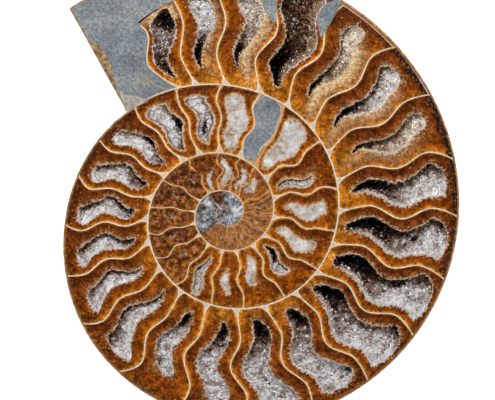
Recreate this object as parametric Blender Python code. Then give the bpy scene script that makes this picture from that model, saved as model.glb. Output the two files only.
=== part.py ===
"""A sawn and polished ammonite half, lying on its flank with the flat cut face up.

The shell is a spiral in the XY plane that grows counter-clockwise. An angle below is a total
angle in degrees: it starts in the core and ends at the aperture, so the whorl wall inside the
one at `angle` is at `angle - 360`. Lengths are in millimetres until a mesh is made.
"""
import math
import random

import bmesh
import bpy

MM = 0.001
TURN = 360.0

# --- the whorl wall: its radius every 45 degrees, from the core out to the aperture
WALL_START = -900.0
WALL_STEP = 45.0
WALL_RADII = [
    3.0, 2.9, 2.9, 3.4, 4.2, 5.5, 6.6, 7.7,
    8.5, 8.8, 9.4, 10.5, 12.5, 14.4, 16.7, 18.9,
    21.1, 22.9, 24.9, 27.8, 30.1, 32.8, 35.2, 39.0,
    43.5, 50.1, 55.6, 59.4, 62.8, 65.1, 67.9, 70.8, 73.9,
]
APERTURE = 487.2  # where the broken outer edge ends
APERTURE_LINE = 9.7  # distance from the spiral's centre to the straight break
CENTRE = (-9.36, -6.03)  # the spiral's centre, seen from the middle of the outline

# --- the flank, as parts of the outer radius
HALF_THICKNESS = 18.5
FULL_THICKNESS_FROM = 200.0  # the last whorl keeps its thickness from here on
UMBILICUS = 0.19
SHOULDER = 0.31
PLATEAU = 0.42
UMBILICAL_ROWS = 4
FLANK_ROWS = [0.53, 0.64, 0.74, 0.83, 0.90, 0.955, 0.987, 1.0]
COLUMN = 4.5  # degrees between two columns of the flank
FLANK_START = APERTURE - 2 * TURN - 5 * COLUMN
RIB = 13.5  # degrees from rib to rib
RIB_HEIGHT = 0.7

# --- septa: angle of the crest next to the inner wall, then how far in degrees the line hangs
# back at its lobe, drifts back over its length, and sweeps back at its foot and at its tip
SEPTA = [
    (-209.0, 3.5, 0.0, 0.0, 0.0),
    (-186.5, 2.0, 0.0, 1.0, -0.5),
    (-165.0, 3.0, -1.0, 1.5, 4.0),
    (-144.5, 4.5, 0.5, 0.0, 4.5),
    (-122.5, 4.0, 0.5, -0.5, 3.5),
    (-97.5, 4.5, 2.5, -0.5, -0.5),
    (-74.5, 4.5, 3.5, -0.5, 2.0),
    (-49.5, 6.0, 4.5, -2.0, 0.5),
    (-27.0, 5.0, 3.5, 0.5, 0.0),
    (-2.0, 4.0, 6.0, 0.5, 0.0),
    (20.5, 4.0, 4.0, 0.5, 3.5),
    (43.0, 5.0, 4.0, 0.0, 0.5),
    (60.5, 1.5, 0.0, 0.5, -2.5),
    (77.0, 4.0, 0.5, 0.5, 2.5),
    (96.0, 2.5, 1.0, 0.0, 3.0),
    (114.5, 2.0, 1.5, 1.5, 1.5),
    (131.0, 2.0, -1.0, 4.0, 2.0),
    (149.5, 2.5, -1.5, 3.5, 2.0),
    (168.5, 2.0, -0.5, 2.5, 5.0),
    (186.0, 3.0, 0.0, 4.5, 3.0),
    (203.5, 3.0, 1.0, 5.5, 2.0),
    (221.5, 3.0, 1.0, 3.5, 4.0),
    (239.5, 3.5, -0.5, 0.5, 5.0),
    (257.5, 4.5, -0.5, 0.0, 2.0),
    (276.5, 5.0, 0.0, 0.5, 0.5),
    (295.0, 4.5, -0.5, 2.5, 1.5),
    (313.0, 4.5, 1.0, 1.5, 1.5),
    (330.5, 4.5, 1.0, 3.0, 2.5),
    (347.5, 4.0, 2.0, 3.0, 2.0),
    (364.0, 4.0, 2.0, 2.0, 2.5),
    (379.5, 3.0, 2.0, 2.5, 4.0),
    (394.5, 3.0, 2.0, 3.0, 2.0),
    (409.0, 3.0, 1.5, 3.5, 3.0),
    (424.0, 3.5, 1.5, 3.5, 2.0),
    (439.5, 3.5, 2.5, 5.0, 2.5),
    (453.5, 2.5, 1.5, 3.5, 2.5),
    (466.0, 2.0, 2.5, 3.0, 2.5),
    (477.5, 4.0, 0.0, 6.5, 2.5),
]
CREST_AT = 0.25  # where along a septum its two crests lie, from the inner wall to the outer one
TIP_AT = 0.78

# --- open chambers: crest angle of the septum behind it, where the hollow starts and ends along
# the chamber, its half width as part of the chamber's, and its depth at the inner end
OPEN_CHAMBERS = [
    (-122.5, 0.22, 0.84, 0.21, 2.6),
    (-49.5, 0.18, 0.62, 0.21, 3.4),
    (20.5, 0.18, 0.72, 0.20, 3.4),
    (96.0, 0.20, 0.80, 0.20, 3.4),
    (114.5, 0.20, 0.84, 0.22, 4.2),
    (131.0, 0.16, 0.80, 0.25, 4.2),
    (149.5, 0.17, 0.76, 0.26, 5.0),
    (168.5, 0.20, 0.84, 0.25, 5.0),
    (186.0, 0.17, 0.83, 0.24, 5.4),
    (203.5, 0.20, 0.83, 0.24, 5.4),
    (221.5, 0.15, 0.83, 0.26, 5.8),
    (239.5, 0.15, 0.74, 0.27, 6.2),
    (257.5, 0.15, 0.84, 0.29, 6.6),
    (276.5, 0.12, 0.86, 0.30, 7.0),
    (295.0, 0.12, 0.88, 0.30, 7.4),
    (313.0, 0.10, 0.90, 0.31, 7.8),
    (330.5, 0.10, 0.90, 0.30, 8.2),
    (347.5, 0.10, 0.90, 0.29, 8.2),
    (364.0, 0.14, 0.86, 0.28, 7.8),
    (379.5, 0.20, 0.84, 0.24, 6.6),
    (394.5, 0.17, 0.85, 0.26, 7.0),
    (409.0, 0.19, 0.88, 0.22, 6.2),
    (424.0, 0.13, 0.92, 0.32, 8.2),
    (439.5, 0.17, 0.86, 0.24, 6.6),
    (453.5, 0.16, 0.82, 0.24, 6.2),
    (466.0, 0.12, 0.66, 0.26, 7.4),
]
HOLLOW_SECTIONS = 8
FLOOR_SIDE = 0.7  # a hollow's floor is this part as wide as its mouth, and rises this much to its edges
FLOOR_EDGE = 0.8
OPENING = 0.4  # how far the shape that cuts a hollow stands out of the cut face
OUTER_DEPTH = 0.32  # depth at the outer end of a hollow, as part of the inner one's
LEAST_DEPTH = 1.8
CRUST_THICKNESS = 1.1
CRYSTAL_POINT = (0.3, 0.6)  # how far the crystals stand up
CRUST_LIP = 0.5  # a crust stops this far below the cut face

# --- grey mudstone that fills the body chamber, and one chamber of the whorl inside it
MUD_CHAMBER = 60.5
MUD_CHAMBER_DEPTH = 6.0
MUD_CHAMBER_LENGTH = 18.0  # from the inner wall to the outer one
PLUG_LENGTH = 30.0
MUD_OVER = 0.64  # from here out the mudstone also fills the last chamber
MUD_OVER_LENGTH = 0.28
PLUG_SECTIONS = 14
MUD_MARGIN = 0.5  # from the middle of a septum to the mudstone next to it
SHELL_WALL = 1.3
PLUG_DEPTH = 11.0
GAP = 0.3  # between touching pieces
OVERSHOOT = 2.0  # how far a cutter sticks out of what it cuts


def smooth(value):
    value = min(1.0, max(0.0, value))
    return value * value * (3 - 2 * value)


def wall_radius(angle):
    """Radius of the whorl wall: a smooth curve through the logarithms of WALL_RADII."""
    place = min(max((angle - WALL_START) / WALL_STEP, 0.0), len(WALL_RADII) - 1.001)
    start = int(place)
    part = place - start
    last = len(WALL_RADII) - 1
    a, b, c, d = (math.log(WALL_RADII[min(max(start + k, 0), last)]) for k in (-1, 0, 1, 2))
    return math.exp(0.5 * (2 * b + (c - a) * part + (2 * a - 5 * b + 4 * c - d) * part ** 2
                           + (3 * b - a - 3 * c + d) * part ** 3))


def plan(angle, radius):
    turned = math.radians(angle)
    return CENTRE[0] + radius * math.cos(turned), CENTRE[1] + radius * math.sin(turned)


def septum_angle(septum, along):
    """Total angle of a septum at `along`, which runs from 0 at the inner wall to 1 at the outer."""
    crest, lobe, drift, foot, tip = septum
    between = min(1.0, max(0.0, (along - CREST_AT) / (TIP_AT - CREST_AT)))
    return (crest - lobe * math.sin(math.pi * between) ** 2 - drift * between
            - foot * max(0.0, 1 - along / CREST_AT) ** 1.5
            - tip * max(0.0, (along - TIP_AT) / (1 - TIP_AT)) ** 1.5)


def chamber_point(first, last, across, along):
    """Plan position in the chamber between two septa, `across` from 0 at the first to 1."""
    angle = (1 - across) * septum_angle(first, along) + across * septum_angle(last, along)
    inner = wall_radius(angle - TURN)
    return plan(angle, inner + along * (wall_radius(angle) - inner))


def septum_pair(crest):
    index = [septum[0] for septum in SEPTA].index(crest)
    return SEPTA[index], SEPTA[index + 1]


def whorl_thickness(angle):
    return HALF_THICKNESS * min(1.0, wall_radius(angle) / wall_radius(FULL_THICKNESS_FROM)) ** 0.6


def flank_depth(angle, part):
    """Depth of the flank below the cut face, `part` of the way out to the whorl wall."""
    full = whorl_thickness(angle)
    if part <= SHOULDER:
        seam = whorl_thickness(angle - TURN)
        return seam + (full - seam) * math.sin(math.pi / 2 * (part - UMBILICUS) / (SHOULDER - UMBILICUS))
    if part <= PLATEAU:
        return full
    out = (part - PLATEAU) / (1 - PLATEAU)
    depth = full * max(0.0, 1 - out ** 2.2) ** 0.62
    curl = angle - 8 * math.sin(math.pi * out)  # a rib bends forward in the middle of the flank
    groove = 0.5 - 0.5 * math.cos(math.radians(curl * TURN / RIB))
    fade = smooth(out / 0.4) * (1 - smooth((out - 0.72) / 0.26))
    return depth - RIB_HEIGHT * groove * fade


def aperture_angle(radius):
    """Angle at which the straight break crosses a radius, in the turn of the outer edge."""
    end = APERTURE + math.degrees(math.acos(APERTURE_LINE / wall_radius(APERTURE)))
    return end - math.degrees(math.acos(min(0.9, APERTURE_LINE / radius)))


def flank_point(angle, part):
    """A point of the flank. Columns lean towards the straight break as they come near it."""
    radius = part * wall_radius(angle)
    turns = round((angle - APERTURE) / TURN)
    near = 1 - smooth(abs(angle - APERTURE - turns * TURN) / 60)
    lean = near * (aperture_angle(max(radius, 0.2 * wall_radius(APERTURE))) - APERTURE)
    x, y = plan(angle + lean, radius)
    return x, y, HALF_THICKNESS - flank_depth(angle, part)


def add_object(name, bm, material):
    """Makes the object called `name` from a bmesh in millimetres."""
    bmesh.ops.scale(bm, vec=(MM, MM, MM), verts=bm.verts)
    mesh = bpy.data.meshes.new(name)
    bm.to_mesh(mesh)
    bm.free()
    made = bpy.data.objects.new(name, mesh)
    bpy.context.scene.collection.objects.link(made)
    if material:
        mesh.materials.append(material)
    return made


def loft(bm, sections):
    """A closed skin over sections that have the same number of points each."""
    rings = [[bm.verts.new(point) for point in section] for section in sections]
    count = len(rings[0])
    quads = []
    for ring, following in zip(rings, rings[1:]):
        for k in range(count):
            n = (k + 1) % count
            quads.append(bm.faces.new((ring[k], ring[n], following[n], following[k])))
    bm.faces.new(rings[0][::-1])
    bm.faces.new(rings[-1])
    return quads


def point_out(bm):
    bmesh.ops.triangulate(bm, faces=bm.faces[:], quad_method="FIXED")
    bmesh.ops.recalc_face_normals(bm, faces=bm.faces[:])


def hollow_shape(chamber, place):
    """Half width and floor depth of a hollow at `place`, 0 at its inner end and 1 at its outer."""
    _, start, end, half_width, depth = chamber
    rounding = (1 - abs(2 * place - 1) ** 4) ** 0.5
    along = start + place * (end - start)
    width = half_width * (0.25 + 0.75 * rounding)
    floor = max(LEAST_DEPTH, depth * (1 - (1 - OUTER_DEPTH) * smooth(place)))
    return along, width, floor


def hollow_places():
    """Where a hollow has its sections: closer together towards its two ends."""
    return [0.5 - 0.5 * math.cos(math.pi * k / (HOLLOW_SECTIONS - 1)) for k in range(HOLLOW_SECTIONS)]


def cut_hollow(bm, chamber):
    first, last = septum_pair(chamber[0])
    sections = []
    for place in hollow_places():
        along, width, floor = hollow_shape(chamber, place)
        foot = FLOOR_EDGE * floor
        profile = ((-1.0, OPENING), (-FLOOR_SIDE, -foot), (0.0, -floor), (FLOOR_SIDE, -foot), (1.0, OPENING))
        sections.append([(*chamber_point(first, last, 0.5 + side * width, along), HALF_THICKNESS + z)
                         for side, z in profile])
    loft(bm, sections)


def crystal_crust(name, chamber, material, rng):
    """The crystals that line one hollow: a thin trough with a crystal point on each inner face."""
    first, last = septum_pair(chamber[0])
    sections = []
    for place in hollow_places()[1:-1]:
        along, width, floor = hollow_shape(chamber, place)
        chamber_width = math.dist(chamber_point(first, last, 0.0, along), chamber_point(first, last, 1.0, along))
        width -= 1.7 * GAP / chamber_width
        thick = min(CRUST_THICKNESS, 0.4 * width * chamber_width, 0.3 * floor)
        rough = 0.25 * thick
        bed = 1.5 * GAP - floor
        slope = (1 - FLOOR_EDGE) * floor
        inner = FLOOR_SIDE - 0.8 * thick / (width * chamber_width)
        lean = (OPENING + CRUST_LIP) / (OPENING + FLOOR_EDGE * floor)
        lip = 1 - (1 - FLOOR_SIDE) * lean
        profile = (
            (-lip, -CRUST_LIP), (-FLOOR_SIDE, bed + slope), (0.0, bed), (FLOOR_SIDE, bed + slope),
            (lip, -CRUST_LIP),
            (inner, bed + slope + thick + rng.uniform(-rough, rough)),
            (rng.uniform(-0.1, 0.1), bed + 1.2 * thick + rng.uniform(-rough, rough)),
            (-inner, bed + slope + thick + rng.uniform(-rough, rough)),
        )
        sections.append([(*chamber_point(first, last, 0.5 + side * width, along), HALF_THICKNESS + z)
                         for side, z in profile])
    bm = bmesh.new()
    quads = loft(bm, sections)
    inside = [quad for number, quad in enumerate(quads) if number % 8 in (5, 6)]
    bmesh.ops.recalc_face_normals(bm, faces=bm.faces[:])
    for quad in inside:
        poked = bmesh.ops.poke(bm, faces=[quad])["verts"][0]
        poked.co.z += rng.uniform(*CRYSTAL_POINT)
    point_out(bm)
    return add_object(name, bm, material)


def whorl_solid(material):
    """The whole half shell before anything is cut out of it."""
    bm = bmesh.new()
    per_turn = round(TURN / COLUMN)
    count = round((APERTURE - FLANK_START) / COLUMN)
    angles = [FLANK_START + k * COLUMN for k in range(count + 1)]

    # the strip from each umbilical seam to the next whorl's seam, whose points the next turn shares
    strip = []
    for k, angle in enumerate(angles):
        if angle <= APERTURE - TURN + 0.01:
            outer = UMBILICUS * wall_radius(angle + TURN) / wall_radius(angle)
        else:
            start = UMBILICUS * wall_radius(APERTURE) / wall_radius(APERTURE - TURN)
            outer = start + (PLATEAU - start) * smooth((angle - APERTURE + TURN) / 60)
        first = strip[k - per_turn][-1] if k >= per_turn else bm.verts.new(flank_point(angle, UMBILICUS))
        column = [first]
        for row in range(1, UMBILICAL_ROWS + 1):
            part = UMBILICUS + (outer - UMBILICUS) * row / UMBILICAL_ROWS
            column.append(bm.verts.new(flank_point(angle, part)))
        strip.append(column)
    for column, following in zip(strip, strip[1:]):
        for row in range(UMBILICAL_ROWS):
            bm.faces.new((column[row], column[row + 1], following[row + 1], following[row]))

    # the bottom of the umbilicus
    rim = strip[0][::-1] + [strip[k][0] for k in range(1, per_turn + 1)]
    middle = bm.verts.new((*CENTRE, sum(v.co.z for v in rim) / len(rim)))
    for a, b in zip(rim, rim[1:]):
        bm.faces.new((a, b, middle))

    # the rest of the last whorl's flank, out to the cut face
    flank = [[strip[k][-1]] + [bm.verts.new(flank_point(angles[k], part)) for part in FLANK_ROWS]
             for k in range(count - per_turn, count + 1)]
    for column, following in zip(flank, flank[1:]):
        for row in range(len(FLANK_ROWS)):
            bm.faces.new((column[row], column[row + 1], following[row + 1], following[row]))

    # the cut face, and the straight break at the aperture
    bm.faces.new([column[-1] for column in flank])
    bm.faces.new(strip[-1][1:] + flank[-1][1:] + flank[0][::-1])
    bmesh.ops.recalc_face_normals(bm, faces=bm.faces[:])
    return add_object("shell", bm, material)


def mud_sections(first, last, inset, top, depth):
    """Sections of the mudstone between two septa, from the inner wall to the outer one."""
    sections = []
    margin = 0.06 + inset / MUD_CHAMBER_LENGTH
    for k in range(8):
        along = margin + (1 - 2 * margin) * k / 7
        low = chamber_point(first, last, 0.0, along)
        wide = math.dist(low, chamber_point(first, last, 1.0, along))
        side = (MUD_MARGIN + inset) / wide
        sections.append([(*chamber_point(first, last, across, along), HALF_THICKNESS + z)
                         for across, z in ((side, top), (side, inset - depth), (1 - side, inset - depth),
                                           (1 - side, top))])
    return sections


def plug_sections(inset, top, past):
    """Sections of the body chamber's filling, from the inner wall out, `past` beyond the break."""
    before, last = SEPTA[-2:]
    sections = []
    margin = 0.035
    for k in range(PLUG_SECTIONS):
        along = margin + (1 - 2 * margin) * k / (PLUG_SECTIONS - 1)
        if k == 0:
            along += 1.3 * inset / PLUG_LENGTH
        if k == PLUG_SECTIONS - 1:
            along -= 1.3 * inset / PLUG_LENGTH
        over = smooth((along - MUD_OVER) / MUD_OVER_LENGTH)
        start = (1 - over) * septum_angle(last, along) + over * septum_angle(before, along)
        inner = wall_radius(start - TURN)
        radius = inner + along * (wall_radius(start) - inner)
        low_angle = start + math.degrees((MUD_MARGIN + inset * (1 + 2 * over)) / radius)
        far_inner = wall_radius(APERTURE - TURN + 5)
        far_radius = far_inner + along * (wall_radius(APERTURE) - far_inner)
        far_angle = aperture_angle(far_radius)
        points = []
        for across in (0.0, 0.5, 1.0):
            angle = low_angle + across * (far_angle - low_angle)
            reach = radius + across * (far_radius - radius)
            if across == 1.0:
                angle += math.degrees(past / reach)
            part = reach / wall_radius(min(angle, APERTURE))
            floor = min(PLUG_DEPTH, flank_depth(min(angle, APERTURE), min(part, 0.97)) - SHELL_WALL)
            points.append((*plan(angle, reach), HALF_THICKNESS - floor + inset))
        lid = [(x, y, HALF_THICKNESS + top) for x, y, _ in points]
        sections.append(points + lid[::-1])
    return sections


def lofted(name, sections, material=None):
    bm = bmesh.new()
    loft(bm, sections)
    point_out(bm)
    return add_object(name, bm, material)


def subtract(target, cutter):
    cutter.hide_render = True
    cutter.display_type = "WIRE"
    cut = target.modifiers.new(cutter.name, "BOOLEAN")
    cut.operation = "DIFFERENCE"
    cut.object = cutter


def finish(name, colour, roughness):
    material = bpy.data.materials.new(name)
    material.use_nodes = True
    shader = material.node_tree.nodes["Principled BSDF"]
    shader.inputs["Base Color"].default_value = (*colour, 1.0)
    shader.inputs["Roughness"].default_value = roughness
    material.diffuse_color = (*colour, 1.0)
    return material


def build():
    for old in list(bpy.data.objects):
        bpy.data.objects.remove(old)
    calcite = finish("brown_calcite", (0.35, 0.13, 0.03), 0.3)
    crystals = finish("white_crystals", (0.55, 0.52, 0.48), 0.4)
    mudstone = finish("grey_mudstone", (0.18, 0.20, 0.22), 0.7)

    shell = whorl_solid(calcite)

    hollows = bmesh.new()
    for chamber in OPEN_CHAMBERS:
        cut_hollow(hollows, chamber)
    point_out(hollows)
    subtract(shell, add_object("hollow_cutter", hollows, None))

    rng = random.Random(4)
    for number, chamber in enumerate(OPEN_CHAMBERS, 1):
        crystal_crust(f"crystal_crust_{number:02d}", chamber, crystals, rng)

    first, last = septum_pair(MUD_CHAMBER)
    subtract(shell, lofted("mud_chamber_cutter", mud_sections(first, last, 0.0, OVERSHOOT, MUD_CHAMBER_DEPTH)))
    lofted("mudstone_chamber", mud_sections(first, last, GAP, 0.0, MUD_CHAMBER_DEPTH), mudstone)
    subtract(shell, lofted("plug_cutter", plug_sections(0.0, OVERSHOOT, OVERSHOOT)))
    lofted("mudstone_plug", plug_sections(GAP, 0.0, 0.0), mudstone)


build()
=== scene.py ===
import math
import random

import bpy
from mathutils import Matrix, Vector, noise


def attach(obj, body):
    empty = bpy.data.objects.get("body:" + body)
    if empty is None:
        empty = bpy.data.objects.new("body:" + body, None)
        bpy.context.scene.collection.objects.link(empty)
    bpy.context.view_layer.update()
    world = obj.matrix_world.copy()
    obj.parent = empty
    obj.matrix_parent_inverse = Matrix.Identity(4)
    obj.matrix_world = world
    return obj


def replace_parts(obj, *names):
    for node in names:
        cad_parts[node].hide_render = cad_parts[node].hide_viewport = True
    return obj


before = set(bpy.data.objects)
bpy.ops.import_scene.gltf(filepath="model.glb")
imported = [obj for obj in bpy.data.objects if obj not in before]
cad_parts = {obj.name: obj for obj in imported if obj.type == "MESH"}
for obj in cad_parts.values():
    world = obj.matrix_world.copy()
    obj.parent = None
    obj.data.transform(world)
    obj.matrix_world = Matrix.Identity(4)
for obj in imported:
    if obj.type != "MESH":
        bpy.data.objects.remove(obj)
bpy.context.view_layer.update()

# ---------------------------------------------------------------------------------------------
# Camera, light and floor: a pale table seen from straight above through a long lens. A large soft
# light leans in from the side of the broken edge, and a second and a third one fill the shadows.
# ---------------------------------------------------------------------------------------------
MM = 0.001
VIEW_CENTRE = (-3.69 * MM, -1.84 * MM)
VIEW_WIDTH = 133.65 * MM
CUT_FACE = 18.5 * MM
CAMERA_HEIGHT = 1.5
SENSOR = 36.0


def linear(hex_colour):
    """sRGB hex to linear RGBA."""
    parts = [int(hex_colour[k:k + 2], 16) / 255 for k in (0, 2, 4)]
    return (*[p / 12.92 if p <= 0.04045 else ((p + 0.055) / 1.055) ** 2.4 for p in parts], 1.0)


def set_inputs(material, node, inputs):
    """Sets inputs, by name or in order, to values, hex colours, or what another node gives first."""
    in_order = [socket for socket in node.inputs if socket.enabled]
    for key, value in inputs.items() if isinstance(inputs, dict) else enumerate(inputs):
        socket = node.inputs[key] if isinstance(key, str) else in_order[key]
        if isinstance(value, bpy.types.Node):
            value = next(output for output in value.outputs if output.enabled)
        if isinstance(value, bpy.types.NodeSocket):
            material.node_tree.links.new(value, socket)
        else:
            socket.default_value = linear(value) if isinstance(value, str) else value


def new_material(name):
    """A new material and its shader."""
    made = bpy.data.materials.new(name)
    made.use_nodes = True
    return made, made.node_tree.nodes["Principled BSDF"]


bpy.ops.object.select_all(action="DESELECT")
bpy.ops.object.camera_add(location=(*VIEW_CENTRE, CUT_FACE + CAMERA_HEIGHT), rotation=(0, 0, 0))
camera = bpy.context.object
camera.data.sensor_width = SENSOR
camera.data.lens = SENSOR * CAMERA_HEIGHT / VIEW_WIDTH
camera.data.clip_end = 20
bpy.context.scene.camera = camera

for name, place, size, power in (
    ("key_light", (-0.08, 0.45, 0.48), 0.32, 3.7),
    ("left_fill", (-0.60, -0.10, 0.45), 0.60, 1.55),
    ("right_fill", (0.60, -0.10, 0.45), 0.60, 1.55),
    ("near_fill", (0.0, -0.62, 0.45), 0.60, 1.1),
):
    toward = Vector(place) - Vector((0, 0, CUT_FACE))
    turned = toward.to_track_quat("Z", "Y").to_euler()
    bpy.ops.object.light_add(type="AREA", location=place, rotation=turned)
    lamp = bpy.context.object
    lamp.name = name
    lamp.data.size = size
    lamp.data.energy = power

world = bpy.data.worlds.new("soft_room")
bpy.context.scene.world = world
world.use_nodes = True
set_inputs(world, world.node_tree.nodes["Background"], {"Color": "FFFFFF", "Strength": 0.05})
bpy.context.scene.view_settings.view_transform = "Standard"

# pale floor: matt painted board, faintly lit from below as a light table is
bpy.ops.mesh.primitive_plane_add(size=6.0, location=(0, 0, -0.0003))
floor = bpy.context.object
floor.name = "floor"
board, shader = new_material("painted_board")
set_inputs(board, shader, {"Base Color": "F4F4F4", "Roughness": 0.9, "Emission Color": "FFFFFF",
                           "Emission Strength": 0.8})
floor.data.materials.append(board)

# ---------------------------------------------------------------------------------------------
# The shell's outside: the ribbed flank that the fossil lies on, down into the umbilicus. It is the
# shell wall itself, turned to brown calcite, with fine growth lines between its low ribs.
# ---------------------------------------------------------------------------------------------
TURN = 360.0
WALL_START = -900.0      # total angle of the first of the radii, in degrees
WALL_STEP = 45.0
# radius of the outer whorl wall in mm at every step, about the middle of the spiral
WALL_RADII = [
    3.0, 2.9, 2.9, 3.4, 4.2, 5.5, 6.6, 7.7,
    8.5, 8.8, 9.4, 10.5, 12.5, 14.4, 16.7, 18.9,
    21.1, 22.9, 24.9, 27.8, 30.1, 32.8, 35.2, 39.0,
    43.5, 50.1, 55.6, 59.4, 62.8, 65.1, 67.9, 70.8, 73.9,
]
APERTURE = 487.2         # where the outer edge ends at the break
APERTURE_LINE = 9.7      # how far the break's straight line passes from the middle
CENTRE = (-9.36, -6.03)
HALF_THICKNESS = 18.5
FULL_THICKNESS_FROM = 200.0
UMBILICUS = 0.19         # its edge, the flank's shoulder and its level part, as shares of the radius
SHOULDER = 0.31
PLATEAU = 0.42
RIB = 13.5               # degrees from one rib to the next
RIB_HEIGHT = 0.7
FLANK_COLUMN = 1.5       # degrees from one column of points to the next
UMBILICAL_ROWS = 8
FLANK_ROWS = [0.47, 0.53, 0.585, 0.64, 0.69, 0.74, 0.785, 0.83, 0.865, 0.90, 0.93, 0.955, 0.973, 0.987,
              0.995, 1.0]
GROWTH_LINE = 0.06       # height of a growth line
LINES_PER_RIB = 7


def smooth(value):
    """A soft step from 0 at 0 to 1 at 1."""
    value = min(1.0, max(0.0, value))
    return value * value * (3 - 2 * value)


def smooth_curve(a, b, c, d, part):
    """The place `part` of the way from b to c on a smooth curve through a, b, c and d."""
    return 0.5 * (2 * b + (c - a) * part + (2 * a - 5 * b + 4 * c - d) * part ** 2
                  + (3 * b - a - 3 * c + d) * part ** 3)


def wall_radius(angle):
    """Radius of the whorl wall in mm: a smooth curve through the logarithms of WALL_RADII."""
    last = len(WALL_RADII) - 1
    place = min(max((angle - WALL_START) / WALL_STEP, 0.0), last - 0.001)
    start = int(place)
    around_it = [math.log(WALL_RADII[min(max(start + k, 0), last)]) for k in (-1, 0, 1, 2)]
    return math.exp(smooth_curve(*around_it, place - start))


def plan(angle, radius):
    """Plan position in mm at a total angle and a radius."""
    turned = math.radians(angle)
    return CENTRE[0] + radius * math.cos(turned), CENTRE[1] + radius * math.sin(turned)


def whorl_thickness(angle):
    """How far the half whorl reaches below the cut face."""
    return HALF_THICKNESS * min(1.0, wall_radius(angle) / wall_radius(FULL_THICKNESS_FROM)) ** 0.6


def flank_depth(angle, part):
    """Depth of the flank below the cut face, `part` of the way out to the whorl wall."""
    full = whorl_thickness(angle)
    if part <= SHOULDER:
        seam = whorl_thickness(angle - TURN)
        return seam + (full - seam) * math.sin(math.pi / 2 * (part - UMBILICUS) / (SHOULDER - UMBILICUS))
    if part <= PLATEAU:
        return full
    out = (part - PLATEAU) / (1 - PLATEAU)
    depth = full * max(0.0, 1 - out ** 2.2) ** 0.62
    curl = angle - 8 * math.sin(math.pi * out)
    groove = 0.5 - 0.5 * math.cos(math.radians(curl * TURN / RIB))
    waver = 2 * noise.noise(Vector((curl * 0.9, out * 6, 0)))
    line = 0.5 + 0.5 * math.sin(math.radians(curl * TURN / RIB * LINES_PER_RIB) + waver)
    fade = smooth(out / 0.4) * (1 - smooth((out - 0.72) / 0.26))
    return depth - (RIB_HEIGHT * groove + GROWTH_LINE * line) * fade


def aperture_angle(radius):
    """Angle at which the straight break crosses a radius, in the turn of the outer edge."""
    end = APERTURE + math.degrees(math.acos(APERTURE_LINE / wall_radius(APERTURE)))
    return end - math.degrees(math.acos(min(0.9, APERTURE_LINE / radius)))


def flank_point(angle, part):
    """A point of the flank, `part` of the way out. Near the aperture it leans with the break."""
    radius = part * wall_radius(angle)
    turns = round((angle - APERTURE) / TURN)
    near = 1 - smooth(abs(angle - APERTURE - turns * TURN) / 60)
    lean = near * (aperture_angle(max(radius, 0.2 * wall_radius(APERTURE))) - APERTURE)
    x, y = plan(angle + lean, radius)
    return x, y, HALF_THICKNESS - flank_depth(angle, part)


def make_piece(name, points, faces, material, slot, smooth_shaded=True, **attributes):
    """Makes a mesh object from points in mm, with one value or vector for each point in an attribute."""
    mesh = bpy.data.meshes.new(name)
    mesh.from_pydata([(x * MM, y * MM, z * MM) for x, y, z in points], [], faces)
    for key, values in attributes.items():
        kind = "FLOAT_VECTOR" if isinstance(values[0], tuple) else "FLOAT"
        layer = mesh.attributes.new(key, kind, "POINT")
        flat = [part for value in values for part in value] if kind == "FLOAT_VECTOR" else values
        layer.data.foreach_set("vector" if kind == "FLOAT_VECTOR" else "value", flat)
    mesh.materials.append(material)
    mesh.polygons.foreach_set("use_smooth", [smooth_shaded] * len(mesh.polygons))
    mesh.update()
    piece = bpy.data.objects.new(name, mesh)
    bpy.context.scene.collection.objects.link(piece)
    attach(piece, "root")
    return piece


def quads(rows, flipped=False):
    """The faces between rows of point numbers."""
    return [(a[j], a[j + 1], b[j + 1], b[j]) if flipped else (a[j], b[j], b[j + 1], a[j + 1])
            for a, b in zip(rows, rows[1:]) for j in range(len(a) - 1)]


def numbered(rows, columns, first=0):
    """Point numbers of a grid whose points were added row by row."""
    return [range(first + k * columns, first + (k + 1) * columns) for k in range(rows)]


def face_outward(piece, sharp):
    """Turns a closed piece's faces outward, and shades it smooth but for edges above `sharp` degrees."""
    bpy.ops.object.select_all(action="DESELECT")
    piece.select_set(True)
    bpy.context.view_layer.objects.active = piece
    bpy.ops.object.mode_set(mode="EDIT")
    bpy.ops.mesh.select_all(action="SELECT")
    bpy.ops.mesh.normals_make_consistent(inside=False)
    bpy.ops.object.mode_set(mode="OBJECT")
    bpy.ops.object.shade_smooth_by_angle(angle=math.radians(sharp))


# the umbilicus: a strip that winds out over two turns, the second on the outer edge of the first, closed
# by a fan in the middle. The last turn's flank goes on from it to the outer wall
per_turn = round(TURN / FLANK_COLUMN)
flank_start = APERTURE - 2 * TURN - 15 * FLANK_COLUMN
count = round((APERTURE - flank_start) / FLANK_COLUMN)
angles = [flank_start + k * FLANK_COLUMN for k in range(count + 1)]
points, strip = [], []
for k, angle in enumerate(angles):
    if angle <= APERTURE - TURN + 0.01:
        outer = UMBILICUS * wall_radius(angle + TURN) / wall_radius(angle)
    else:
        start = UMBILICUS * wall_radius(APERTURE) / wall_radius(APERTURE - TURN)
        outer = start + (PLATEAU - start) * smooth((angle - APERTURE + TURN) / 60)
    if k >= per_turn:
        column = [strip[k - per_turn][-1]]
    else:
        points.append(flank_point(angle, UMBILICUS))
        column = [len(points) - 1]
    for row in range(1, UMBILICAL_ROWS + 1):
        points.append(flank_point(angle, UMBILICUS + (outer - UMBILICUS) * row / UMBILICAL_ROWS))
        column.append(len(points) - 1)
    strip.append(column)
faces = quads(strip)
rim = strip[0][::-1] + [strip[k][0] for k in range(1, per_turn + 1)]
points.append((*CENTRE, sum(points[v][2] for v in rim) / len(rim)))
middle = len(points) - 1
faces += [(b, a, middle) for a, b in zip(rim, rim[1:])]
flank = []
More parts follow.
